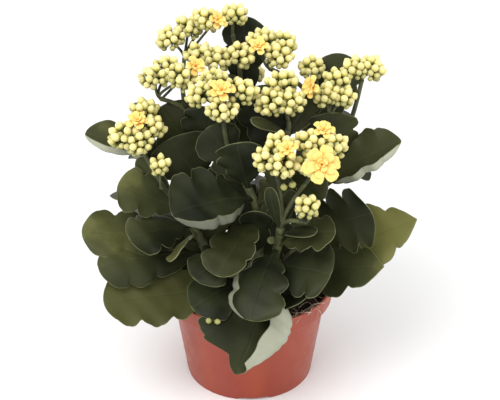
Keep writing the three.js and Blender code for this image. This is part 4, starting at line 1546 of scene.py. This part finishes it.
@dataclass
class Head:
    """A flower head: a short stalk that forks into branches, each with its bunch of buds.

    Attributes:
        name: Its name.
        shoot: The shoot that carries it.
        base: Where its stalk begins.
        centre: Its middle.
        bunches: The bunches' places from its middle.
        spread: A bunch's greatest radius.
        clearance: The gap between its stalk and the shoot's.
        bud_radius: The radius of a fully grown bud.
        crowding: How near two buds may stand, as a share of the sum of their radii.
        bloom_share: The share of a bloom's size within which no bud stands.
        pedicel: How far below a bunch's place its buds' own stalks begin.
        seat: How far below its middle a bloom's stem ends.
        tries: How many places are tried for buds.
    """

    name: str
    shoot: str
    base: Point
    centre: Point
    bunches: tuple[Point, ...]
    spread: float = 10.0
    clearance: float = 0.3
    bud_radius: float = 2.9
    crowding: float = 0.92
    bloom_share: float = 0.62
    pedicel: float = 7.5
    seat: float = 3.3
    tries: int = 1500

    def branching(self) -> Branching:
        """Lays out the head: its stalk goes on in the shoot's direction, and forks towards the bunches.

        Returns:
            Where its parts stand.
        """
        shoot = next(s for s in SHOOTS if s.name == self.shoot)
        upwards = bezier_slope(shoot.stalk(self.base), np.array([1.0]))[0]
        root = np.array(self.base) + upwards * self.clearance
        fork = root + upwards * 0.3 * np.linalg.norm(root - np.array(self.centre))
        places = np.array(self.centre) + np.array(self.bunches, float)
        outward = unit(unit(places - fork) * 0.7 + UP * 0.3)
        return Branching(upwards, root, fork, places, outward, places - outward * self.pedicel)

    def buds(self, layout: Branching, seed: int) -> tuple[Array, Array, Whole]:
        """Where its buds stand.

        Places are tried at random on and under each bunch's cap, the upper ones first, and one is kept
        where the bud isn't too near a kept one. The cap falls with the square of the distance from its
        middle. Buds are smaller further out and further down.

        Args:
            layout: Where the head's parts stand.
            seed: The seed of the tries.

        Returns:
            The buds' centres, their radii, and the number of each one's bunch.
        """
        rng = np.random.default_rng(seed)
        across, third = square_to(layout.outward)
        which = rng.integers(0, len(layout.places), self.tries)
        depth = np.sort(rng.random(self.tries)) ** 1.3
        reach = np.sqrt(rng.random(self.tries))
        angle = 2.0 * np.pi * rng.random(self.tries)
        shrink = 1.02 - 0.28 * depth - 0.14 * reach**3
        radius = self.bud_radius * shrink * (0.86 + 0.2 * rng.random(self.tries))
        out = self.spread * reach * (1.0 - 0.25 * depth)
        fall = 2.2 - 5.0 * reach**2 - 7.5 * depth
        centres = (
            layout.places[which]
            + across[which] * (out * np.cos(angle))[:, None]
            + third[which] * (out * np.sin(angle))[:, None]
            + layout.outward[which] * fall[:, None]
        )
        kept: list[int] = []
        for i in range(self.tries):
            gap = np.linalg.norm(centres[kept] - centres[i], axis=1)
            if (gap >= self.crowding * (radius[kept] + radius[i])).all():
                kept.append(i)
        return centres[kept], radius[kept], which[kept]

    def clear_of(self, blooms: list[Bloom], centres: Array, radii: Array) -> npt.NDArray[np.bool_]:
        """Finds the buds that leave room for every bloom.

        Args:
            blooms: The open flowers on the head.
            centres: The buds' centres.
            radii: Their radii.

        Returns:
            Whether each bud is kept.
        """
        clear = np.ones(len(radii), bool)
        for bloom in blooms:
            gap = np.linalg.norm(centres - np.array(bloom.centre), axis=1) - self.bloom_share * bloom.size
            clear &= gap > 0.55 * radii
        return clear

    def pedicels(self, foot: Array, outward: Array, ends: Array) -> Surface:
        """The buds' own stalks: quadratic curves that set out along their bunch's direction.

        Args:
            foot: Where each one begins.
            outward: Its bunch's outward direction.
            ends: Where it ends.

        Returns:
            One surface that holds them all.
        """
        bend = foot + outward * 0.45 * np.linalg.norm(ends - foot, axis=1)[:, None]
        paths = bezier(np.stack([foot, bend, ends], axis=1), np.linspace(0.0, 1.0, 6))
        return tubes(paths, np.linspace(0.55, 0.62, 6)[None], 6, 1)

    def stalks(self, layout: Branching, blooms: list[Bloom]) -> list[Surface]:
        """The head's stalk with its swollen fork, its branches, and the stems of its blooms.

        Args:
            layout: Where the head's parts stand.
            blooms: The open flowers that stand on it.

        Returns:
            Their surfaces.
        """
        line = layout.root + (layout.fork - layout.root) * np.linspace(0.0, 1.08, 8)[:, None]
        surfaces = [tubes(line[None], np.array([[1.5, 1.5, 1.5, 1.5, 1.5, 1.6, 1.7, 1.2]]), 12, 1)]
        start = layout.fork - layout.upwards * 0.8
        necks = layout.necks
        bend = start + layout.upwards * 0.4 * np.linalg.norm(necks - start, axis=1)[:, None]
        control = np.stack([np.broadcast_to(start, necks.shape), bend, necks + layout.outward], axis=1)
        t = np.linspace(0.0, 1.0, 12)
        surfaces.append(tubes(bezier(control, t), np.linspace(1.15, 0.85, 12)[None], 10, 1))
        for bloom in blooms:
            facing = unit(np.array(bloom.facing))
            seat = np.array(bloom.centre) - facing * self.seat
            stem = bezier(np.stack([start, seat - facing * 6.0, seat]), t)
            surfaces.append(tubes(stem[None], np.linspace(0.95, 0.8, 12)[None], 8, 1))
        return surfaces

    def build(self, blooms: list[Bloom], seed: int, finishes: list[bpy.types.Material]) -> None:
        """Makes the head's piece.

        Args:
            blooms: The open flowers that stand on it.
            seed: The seed of its buds.
            finishes: The bud's and the stalk's materials.
        """
        layout = self.branching()
        centres, radii, which = self.buds(layout, seed)
        clear = self.clear_of(blooms, centres, radii)
        centres, radii, which = centres[clear], radii[clear], which[clear]
        foot, outward = layout.necks[which], layout.outward[which]
        axes = unit(unit(centres - foot) * 0.75 + outward * 0.45)
        piece = Piece(f"cluster_{self.name}")
        piece.add(bud_skins(centres, axes, radii, self.bud_radius, seed + 1000))
        piece.add(self.pedicels(foot, outward, centres - axes * (0.8 * radii)[:, None]))
        for surface in self.stalks(layout, blooms):
            piece.add(surface)
        piece.write(finishes, Slot.BUD, f"head_{self.name}")


HEADS: tuple[Head, ...] = (
    Head(
        "front", "front", (18, -50, 181), (17, -51, 203),
        ((-6, -5, -2), (3, 5, 4), (5, -9, -4)), 9,
    ),
    Head(
        "front_right", "front", (36, -50, 177), (50, -50, 199),
        ((-12, 4, 10), (5, 4, 8), (-10, -6, -2)), 9,
    ),
    Head("front_low", "front", (33, -57, 153), (39, -61, 168), ((-2, 0, 2),), 7),
    Head(
        "middle", "front_left", (-17, -18, 206), (-18, -15, 222),
        ((-16, 2, 5), (0, -10, 0), (15, 3, 8), (-7, 14, 10)), 10,
    ),
    Head(
        "left", "left", (-71, -14, 182), (-77, -10, 201),
        ((-10, -4, -3), (3, -9, -6), (13, 4, 0), (7, 14, 8)), 9,
    ),
    Head("left_low", "left", (-58, -27, 162), (-59, -31, 173), ((0, 0, 12),), 5),
    Head(
        "far_left", "back_left", (-54, 12, 208), (-57, 14, 231),
        ((-7, -4, -1), (3, 6, 2), (14, -8, 0)), 9.5,
    ),
    Head(
        "top_left", "back_left", (-46, 42, 222), (-48, 50, 246),
        ((-8, -6, -1), (6, 2, 5), (20, -2, 11)), 9.5,
    ),
    Head(
        "centre", "centre", (26, -7, 202), (24, -4, 223),
        ((-12, -8, -2), (3, -8, -2), (-2, 6, 7)), 10,
    ),
    Head("right", "right", (60, 4, 198), (59, 4, 220), ((-9, -6, 2), (4, -2, 0), (0, 6, 9)), 8),
    Head("far_right", "right", (75, 14, 217), (78, 17, 236), ((-8, -3, -1), (6, 0, -2)), 8.5),
    Head(
        "top_right", "back_right", (20, 30, 222), (16, 31, 244),
        ((-8, 7, 3), (8, 3, 2), (5, -9, -4)), 9,
    ),
    Head("back_right", "back_right", (45, 30, 208), (45, 32, 228), ((-3, -2, 1),), 8),
    Head(
        "middle_left", "back", (-22, 36, 216), (-24, 29, 235),
        ((-12, 3, 3), (3, -3, 2), (20, -4, 4)), 9,
    ),
    Head("top", "back", (-10, 48, 236), (-11, 51, 258), ((1, 0, 2.5),), 8),
    Head("rear", "back", (0, 66, 186), (2, 78, 204), ((-2, 1, 2),), 10),
)

BLOOMS: dict[str, list[Bloom]] = {
    "front_right": [
        Bloom("front_large", (45, -71, 201), (-0.1, -0.85, 0.45), 12.0, double=True),
        Bloom("front_top", (47, -46, 213), (0.1, -0.5, 0.85), 7),
    ],
    "front": [Bloom("front_left", (24, -60, 206), (-0.2, -0.6, 0.8), 6.5)],
    "left": [Bloom("left", (-74, -12, 204), (0, -0.4, 0.9), 8)],
    "middle": [Bloom("middle", (-18, -20, 229), (0.1, -0.5, 0.85), 8.5)],
    "far_left": [Bloom("far_left", (-36, 8, 235), (0.5, -0.6, 0.6), 7)],
    "top_left": [Bloom("top_left", (-22, 43, 255), (0.5, -0.6, 0.6), 7)],
    "top_right": [Bloom("top_right", (6, 24, 243), (0, -0.6, 0.8), 7)],
    "right": [Bloom("right", (41, -6, 226), (-0.7, -0.6, 0.3), 7.5)],
}


# ---- Pot and soil ----


@dataclass
class Pot:
    """The moulded pot: a tapering wall under a deep rim, a raised floor with holes, and foot notches."""

    height: float = 75.0
    rim_top_radius: float = 61.0
    rim_low_radius: float = 60.0
    rim_height: float = 12.0
    body_top_radius: float = 55.5
    base_radius: float = 46.3
    wall: float = 1.7
    skirt: float = 3.0
    hub_radius: float = 4.0
    pad_radius: float = 22.0
    pad_slope: float = 2.0
    around: int = 160
    drains: int = 6
    drain_radius: float = 3.5
    drain_circle: float = 33.0
    notches: int = 4
    notch_width: float = 24.0
    notch_height: float = 1.8
    notch_angle: float = -86.0
    sharp_angle: float = 40.0

    def profile(self) -> Array:
        """Half the pot's section from the middle of its underside, over the rim, to its inner floor.

        Each corner is rounded by a short curve that leaves and meets the two sides at the same distance.

        Returns:
            Radius and height, shape (n, 2).
        """
        low = self.height - self.rim_height
        inner_foot = self.base_radius - self.wall - 0.4
        pad_foot = self.pad_radius + self.pad_slope
        corners = np.array(
            [
                (self.hub_radius, 0.0, 0.0),
                (self.pad_radius, 0.0, 0.6),
                (pad_foot, self.skirt, 0.6),
                (inner_foot, self.skirt, 0.5),
                (inner_foot, 0.0, 0.4),
                (self.base_radius, 0.0, 0.5),
                (self.body_top_radius, low, 0.5),
                (self.rim_low_radius, low, 0.7),
                (self.rim_top_radius, self.height, 0.8),
                (self.rim_top_radius - self.wall, self.height, 0.8),
                (self.rim_low_radius - self.wall, low + self.wall, 0.6),
                (self.body_top_radius - self.wall, low + self.wall - 1.0, 0.6),
                (self.base_radius - self.wall, self.skirt + self.wall, 1.5),
                (pad_foot, self.skirt + self.wall, 0.6),
                (self.pad_radius, self.wall, 0.6),
                (self.hub_radius, self.wall, 0.0),
            ]
        )
        points, rounding = corners[:, :2], corners[:, 2]
        t = np.linspace(0.0, 1.0, 5)
        before = unit(points[:-2] - points[1:-1]) * rounding[1:-1, None]
        after = unit(points[2:] - points[1:-1]) * rounding[1:-1, None]
        middle = points[1:-1]
        curves = bezier(np.stack([middle + before, middle, middle + after], axis=1), t)
        return np.concatenate([points[:1], curves.reshape(-1, 2), points[-1:]])

    def build(self, finish: bpy.types.Material) -> None:
        """Makes the pot's piece: the turned wall, with its drain holes and foot notches cut out.

        Args:
            finish: The pot's material.
        """
        profile = self.profile()
        angle = np.linspace(0.0, 2.0 * np.pi, self.around, endpoint=False)
        x = profile[:, :1] * np.cos(angle)
        y = profile[:, :1] * np.sin(angle)
        z = np.broadcast_to(profile[:, 1:], x.shape)
        piece = Piece("nursery_pot")
        piece.add(skins(np.stack([x, y, z], axis=-1)[None]))
        shell = piece.write([finish], Slot.POT, "pot")
        cutter = self.cutter()
        cut = shell.modifiers.new("cut", "BOOLEAN")
        cut.operation = "DIFFERENCE"
        cut.solver = "EXACT"
        cut.object = cutter
        depsgraph = bpy.context.evaluated_depsgraph_get()
        mesh = bpy.data.meshes.new_from_object(shell.evaluated_get(depsgraph))
        shell.modifiers.clear()
        shell.data = mesh
        mesh.name = "nursery_pot"
        mesh.shade_smooth()
        mesh.set_sharp_from_angle(angle=math.radians(self.sharp_angle))
        bpy.data.objects.remove(cutter)

    def cutter(self) -> bpy.types.Object:
        """The drain holes' round plugs and the notches' blocks, as one object that cuts the shell.

        Returns:
            The object.
        """
        piece = Piece("cutter")
        turn = 2.0 * np.pi * (np.arange(self.drains) + 0.5) / self.drains
        x, y = self.drain_circle * np.cos(turn), self.drain_circle * np.sin(turn)
        height = np.linspace(-2.0, 8.0, 3)
        path = np.stack(np.broadcast_arrays(x[:, None], y[:, None], height[None]), axis=-1)
        piece.add(tubes(path, np.full((1, 1), self.drain_radius), 24))
        first = np.radians(self.notch_angle) + 2.0 * np.pi * np.arange(self.notches) / self.notches
        radial = np.stack([np.cos(first), np.sin(first), np.zeros(self.notches)], axis=1)
        across = np.stack([-np.sin(first), np.cos(first), np.zeros(self.notches)], axis=1)
        corner = np.array([(-1.0, -1.0), (1.0, -1.0), (1.0, 1.0), (-1.0, 1.0)])
        reach = np.array([self.base_radius - 7.0, self.base_radius + 5.0])
        rings = (
            (radial[:, None] * reach[:, None])[:, :, None]
            + (across[:, None] * self.notch_width / 2.0 * corner[:, :1])[:, None]
            + (UP * self.notch_height * corner[:, 1:])[None, None]
        )
        piece.add(skins(rings))
        return piece.make([])


@dataclass
class Soil:
    """The soil: a closed body that fills the pot, with crumbs and root fibres on its uneven top."""

    pot: Pot
    level: float = 66.5
    bump: float = 1.2
    gap: float = 0.35
    crumbs: int = 420
    top_reach: float = 56.5
    fibres: int = 46
    fibre_reach: float = 56.0
    fibre_radius: float = 0.28

    def top(self, x: Array, y: Array) -> Array:
        """The height of the top: two sizes of waves over its level."""
        spot = np.stack([x, y, np.zeros_like(x)], axis=-1)
        return self.level + self.bump * (wobble(spot, 34.0, 2.0) + 0.55 * wobble(spot, 9.0, 5.0))

    def body(self) -> Surface:
        """The body: a turned profile below, and rings over the top at the height formula's heights.

        Returns:
            Its surface.
        """
        p, gap = self.pot, self.gap
        low = p.height - p.rim_height
        edge = p.rim_low_radius - p.wall - gap - 0.4
        side = np.array(
            [
                (p.hub_radius, p.wall + gap),
                (p.pad_radius - gap, p.wall + gap),
                (p.pad_radius + p.pad_slope - gap, p.skirt + p.wall + gap),
                (p.base_radius - p.wall - gap - 0.6, p.skirt + p.wall + gap),
                (p.body_top_radius - p.wall - gap - 0.1, low + p.wall - 1.0 + gap),
                (edge - 0.1, low + p.wall + gap),
            ]
        )
        reach = edge * np.concatenate([[1.0], np.linspace(0.985, 0.03, 34)])
        angle = np.linspace(0.0, 2.0 * np.pi, 96, endpoint=False)
        side_radius, side_height = side[:, :1], side[:, 1:]
        x, y = side_radius * np.cos(angle), side_radius * np.sin(angle)
        wall = np.stack(np.broadcast_arrays(x, y, side_height), axis=-1)
        radius = reach[:, None]
        x, y = radius * np.cos(angle), radius * np.sin(angle)
        top = np.stack([x, y, self.top(x, y) - 1.2 * smooth(radius, 0.9 * edge, edge)], axis=-1)
        return skins(np.concatenate([wall, top])[None])

    def crumb_skins(self, rng: np.random.Generator) -> Surface:
        """Crumbs: small lumps of six sides, each corner moved a little, scattered over the top.

        Args:
            rng: What they are drawn from.

        Returns:
            One surface that holds them all.
        """
        reach = self.top_reach * np.sqrt(rng.random(self.crumbs))
        angle = 2.0 * np.pi * rng.random(self.crumbs)
        size = 0.5 + 1.5 * rng.random(self.crumbs) ** 2.5
        x, y = reach * np.cos(angle), reach * np.sin(angle)
        centre = np.stack([x, y, self.top(x, y) + 0.25 * size], axis=1)
        height = np.array([-0.9, -0.45, 0.2, 0.8])
        width = np.array([0.4, 0.95, 1.0, 0.45])
        turn = np.linspace(0.0, 2.0 * np.pi, 6, endpoint=False)
        around = np.stack([np.cos(turn), np.sin(turn), np.zeros(6)], axis=1)
        shape = height[:, None, None] * UP + width[:, None, None] * around
        rings = shape[None] * (1.0 + 0.5 * (rng.random((self.crumbs, 4, 6, 1)) - 0.5))
        return skins(centre[:, None, None] + size[:, None, None, None] * rings)

    def fibre_skins(self, rng: np.random.Generator) -> Surface:
        """Root fibres: thin arched tubes on the top, half of them towards the front and the right.

        Args:
            rng: What they are drawn from.

        Returns:
            One surface that holds them all.
        """
        reach = self.fibre_reach * np.sqrt(0.35 + 0.65 * rng.random(self.fibres))
        angle = 2.0 * np.pi * rng.random(self.fibres)
        angle[: self.fibres // 2] = np.radians(-62.0 + 60.0 * rng.random(self.fibres // 2))
        heading = 2.0 * np.pi * rng.random(self.fibres)
        length = 4.0 + 8.0 * rng.random(self.fibres)
        middle = np.stack([reach * np.cos(angle), reach * np.sin(angle)], axis=1)
        step = np.stack([np.cos(heading), np.sin(heading)], axis=1) * length[:, None] / 2.0
        ends = np.stack([middle - step, middle + 0.4 * step[:, ::-1], middle + step], axis=1)
        spare = np.maximum(1.0, np.linalg.norm(ends, axis=2) / self.top_reach)
        ends = ends / spare[..., None]
        lift = np.array([0.2, 2.2, 0.3]) * (0.4 + rng.random((self.fibres, 1)))
        control = np.concatenate([ends, (self.top(ends[..., 0], ends[..., 1]) + lift)[..., None]], axis=2)
        paths = bezier(control, np.linspace(0.0, 1.0, 9))
        return tubes(paths, np.full((1, 1), self.fibre_radius), 6, 1)

    def build(self, finishes: list[bpy.types.Material]) -> None:
        """Makes the soil's piece from its body, crumbs and fibres.

        Args:
            finishes: The peat's and the roots' materials.
        """
        rng = np.random.default_rng(41)
        piece = Piece("peat_soil")
        piece.add(self.body())
        piece.add(self.crumb_skins(rng))
        piece.add(self.fibre_skins(rng))
        piece.write(finishes, Slot.SOIL, "soil")


# ---- Small things beside the nodes ----


@dataclass
class Strays:
    """Two young buds under the front head, two fallen ones on a leaf, a cut stem and draped roots."""

    hanging: tuple[Point, ...] = ((22.0, -57.5, 178.5), (27.5, -58.0, 180.5))
    hanging_root: Point = (19.5, -50.0, 171.0)
    fallen: tuple[Point, ...] = ((-26.9, -76.6, 89.0), (-21.2, -76.0, 87.9))
    fallen_ways: tuple[Point, ...] = ((-0.3, -0.5, 0.8), (0.75, -0.5, 0.35))
    bud_radius: float = 2.3
    stub_foot: Point = (19.0, -38.5, 128.5)
    stub_way: Point = (-0.55, -0.75, 0.4)
    stub_length: float = 9.5
    roots: int = 12
    root_radius: float = 0.27
    root_angles: tuple[float, float] = (-60.0, -34.0)

    def hanging_buds(self, finishes: list[bpy.types.Material]) -> None:
        """Makes the young green buds on their own thin stalks.

        Args:
            finishes: The bud's and the stalk's materials.
        """
        centres, root = np.array(self.hanging), np.array(self.hanging_root)
        axes = unit(centres - root + np.array([0.0, 0.0, 2.0]))
        radii = np.full(len(centres), self.bud_radius)
        piece = Piece("hanging_buds")
        piece.add(bud_skins(centres, axes, radii, 3.0 * self.bud_radius, 77))
        ends = centres - axes * (0.8 * self.bud_radius)
        bend = root + UP * 2.0 + (ends - root) * 0.4
        control = np.stack([np.broadcast_to(root, ends.shape), bend, ends], axis=1)
        piece.add(tubes(bezier(control, np.linspace(0.0, 1.0, 8)), np.full((1, 1), 0.6), 8, 1))
        piece.write(finishes, Slot.BUD)

    def fallen_buds(self, finishes: list[bpy.types.Material]) -> None:
        """Makes the two buds that lie on the front leaf, with a bit of stalk each.

        Args:
            finishes: The bud's and the stalk's materials.
        """
        centres, axes = np.array(self.fallen), unit(np.array(self.fallen_ways))
        radii = np.full(len(centres), 0.85 * self.bud_radius)
        piece = Piece("fallen_buds")
        piece.add(bud_skins(centres, axes, radii, 1.9 * self.bud_radius, 78))
        ends = centres - axes * (0.8 * self.bud_radius)
        control = np.stack([ends, ends - axes * 1.5, ends - axes * 2.6 + UP * 0.3], axis=1)
        piece.add(tubes(bezier(control, np.linspace(0.0, 1.0, 5)), np.full((1, 1), 0.5), 8, 1))
        piece.write(finishes, Slot.BUD)

    def stub(self, finishes: list[bpy.types.Material]) -> None:
        """Makes the stump of a cut shoot: a short tube with a rounded rim and a hollow end, lined with the
        near-black peat as painted shade.

        Args:
            finishes: The stem's material, and the near-black one that paints the hollow's shade.
        """
        way = unit(np.array(self.stub_way))
        across, third = square_to(way)
        angle = np.linspace(0.0, 2.0 * np.pi, 20, endpoint=False)[:, None]
        circle = across * np.cos(angle) + third * np.sin(angle)
        height = self.stub_length * np.array([0.0, 0.3, 0.6, 0.85, 0.96, 1.0, 1.0, 0.97, 0.9, 0.65])
        radius = np.array([2.2, 2.3, 2.45, 2.6, 2.6, 2.4, 2.0, 1.75, 1.6, 1.3])
        rough = 1.0 + 0.06 * np.sin(3.0 * angle + 1.0)
        rings = (
            np.array(self.stub_foot)
            + (way * height[:, None])[:, None]
            + circle * rough * radius[:, None, None]
        )
        piece = Piece("cut_stem")
        piece.add(skins(rings[None, :8], 0))
        # The hollow's lining takes the second material, near-black: painted shade.
        piece.add(skins(rings[None, 7:][:, ::-1] - way * 0.02, 1))
        piece.write(finishes, Slot.LEAF)

    def draped_roots(self, pot: Pot, finish: bpy.types.Material) -> None:
        """Makes the root fibres that lie over the rim on the right, from the soil to the outer side.

        Args:
            pot: The pot whose rim they lie over.
            finish: Their material.
        """
        rng = np.random.default_rng(59)
        first, last = self.root_angles
        angle = np.radians(first + (last - first) * rng.random(self.roots))
        swing = np.radians(9.0) * (rng.random(self.roots) - 0.5)
        drop = 1.0 + 8.0 * rng.random(self.roots) ** 2
        top, outer = pot.height, pot.rim_top_radius
        radius = np.array([outer - 7.5, outer - 4.5, outer - 1.6, outer + 1.6, outer + 0.5])
        over = np.broadcast_to([top - 6.0, top + 1.5, top + 1.1], (self.roots, 3))
        height = np.column_stack([over, top + 0.8 - 0.3 * drop, top - drop])
        turn = angle[:, None] + swing[:, None] * np.arange(5)
        control = np.stack([radius * np.cos(turn), radius * np.sin(turn), height], axis=-1)
        paths = bezier(control, np.linspace(0.0, 1.0, 14))
        piece = Piece("draped_roots")
        piece.add(tubes(paths, np.full((1, 1), self.root_radius), 6))
        piece.write([finish], Slot.SOIL)

    def build(
        self, pot: Pot, bud: bpy.types.Material, stem: bpy.types.Material, soil: list[bpy.types.Material]
    ) -> None:
        """Makes every stray piece.

        Args:
            pot: The pot whose rim the roots lie over.
            bud: The buds' material.
            stem: The stalks' material.
            soil: The peat's and the roots' materials.
        """
        peat, fibre = soil
        self.hanging_buds([bud, stem])
        self.fallen_buds([bud, stem])
        # The peat's near-black lines the stub's hollow as painted shade.
        self.stub([stem, peat])
        self.draped_roots(pot, fibre)


# ---- Studio ----


@dataclass
class Studio:
    """A pale floor, soft light, and the camera at the photograph's angle; lengths in metres."""

    pitch: float = 28.03
    distance: float = 0.8
    target_height: float = 0.1385
    lens: float = 82.37
    sensor: float = 36.0
    shift: float = 0.0012
    far_clip: float = 40.0
    floor_size: float = 14.0
    aim: Point = (0.0, 0.0, 0.13)

    def camera(self) -> None:
        """The camera: it looks along +Y and down by its pitch."""
        tilt = math.radians(self.pitch)
        data = bpy.data.cameras.new("camera")
        data.lens, data.sensor_width, data.shift_x = self.lens, self.sensor, self.shift
        data.clip_end = self.far_clip
        camera = bpy.data.objects.new("camera", data)
        height = self.target_height + self.distance * math.sin(tilt)
        camera.location = (0.0, -self.distance * math.cos(tilt), height)
        camera.rotation_euler = (math.pi / 2.0 - tilt, 0.0, 0.0)
        bpy.context.scene.collection.objects.link(camera)
        bpy.context.scene.camera = camera

    def light(self, name: str, place: Point, size: float, power: float) -> None:
        """A square soft white light that faces the plant's middle.

        Args:
            name: Its name.
            place: Where it stands.
            size: Its side.
            power: Its power in watts.
        """
        data = bpy.data.lights.new(name, "AREA")
        data.size, data.energy = size, power
        lamp = bpy.data.objects.new(name, data)
        lamp.location = place
        x, y, z = np.array(self.aim) - np.array(place)
        lamp.rotation_euler = (math.atan2(math.hypot(x, y), -z), 0.0, math.atan2(y, x) - math.pi / 2.0)
        bpy.context.scene.collection.objects.link(lamp)

    def floor(self) -> None:
        """The floor: one square, staged so that it isn't a piece of the part."""
        g = Graph("pale_floor")
        tone = g.span(g.noise(1.5, 2.0), 0.3, 0.7, 0.86, 0.9)
        shade = g.add("ShaderNodeCombineColor", Red=tone, Green=tone, Blue=tone)
        g.dress(Base_Color=shade.outputs["Color"], Roughness=0.9, Specular_IOR_Level=0.1)
        half = self.floor_size / 2.0
        corners = [(-half, -half, 0.0), (half, -half, 0.0), (half, half, 0.0), (-half, half, 0.0)]
        mesh = bpy.data.meshes.new("floor")
        mesh.from_pydata(corners, [], [(0, 1, 2, 3)])
        mesh.materials.append(g.material)
        floor = bpy.data.objects.new("floor", mesh)
        bpy.context.scene.collection.objects.link(floor)

    def build(self) -> None:
        """Makes the floor, the lights, the white world and the camera."""
        self.floor()
        world = bpy.data.worlds.new("studio")
        world.use_nodes = True
        sky = world.node_tree.nodes["Background"]
        sky.inputs["Color"].default_value = (1.0, 1.0, 1.0, 1.0)
        sky.inputs["Strength"].default_value = 1.0
        bpy.context.scene.world = world
        self.light("key", (-0.55, -0.75, 1.25), 0.9, 13.0)
        self.light("fill", (0.9, -0.5, 0.6), 0.9, 3.0)
        self.camera()
        bpy.context.scene.view_settings.view_transform = "Standard"


def main() -> None:
    """Builds every sub-assembly in order."""
    logging.basicConfig(level=logging.INFO, format="%(name)s: %(message)s")
    Studio().build()
    leaf, stem = LeafFinish().make(), StemFinish().make()
    bud, petal = BudFinish().make(), PetalFinish().make()
    pot = Pot()
    pot.build(PotFinish().make())
    soil = [SoilFinish().make(), RootFinish().make()]
    Soil(pot).build(soil)
    for i, shoot in enumerate(SHOOTS):
        shoot.build([h.base for h in HEADS if h.shoot == shoot.name], 20.0 * i + 3.0, [leaf, stem])
    for i, head in enumerate(HEADS):
        blooms = BLOOMS.get(head.name, [])
        head.build(blooms, i + 1, [bud, stem])
        for k, bloom in enumerate(blooms):
            bloom.build(40.0 * i + k, [petal, stem])
    Strays().build(pot, bud, stem, soil)


if __name__ == "__main__":
    main()
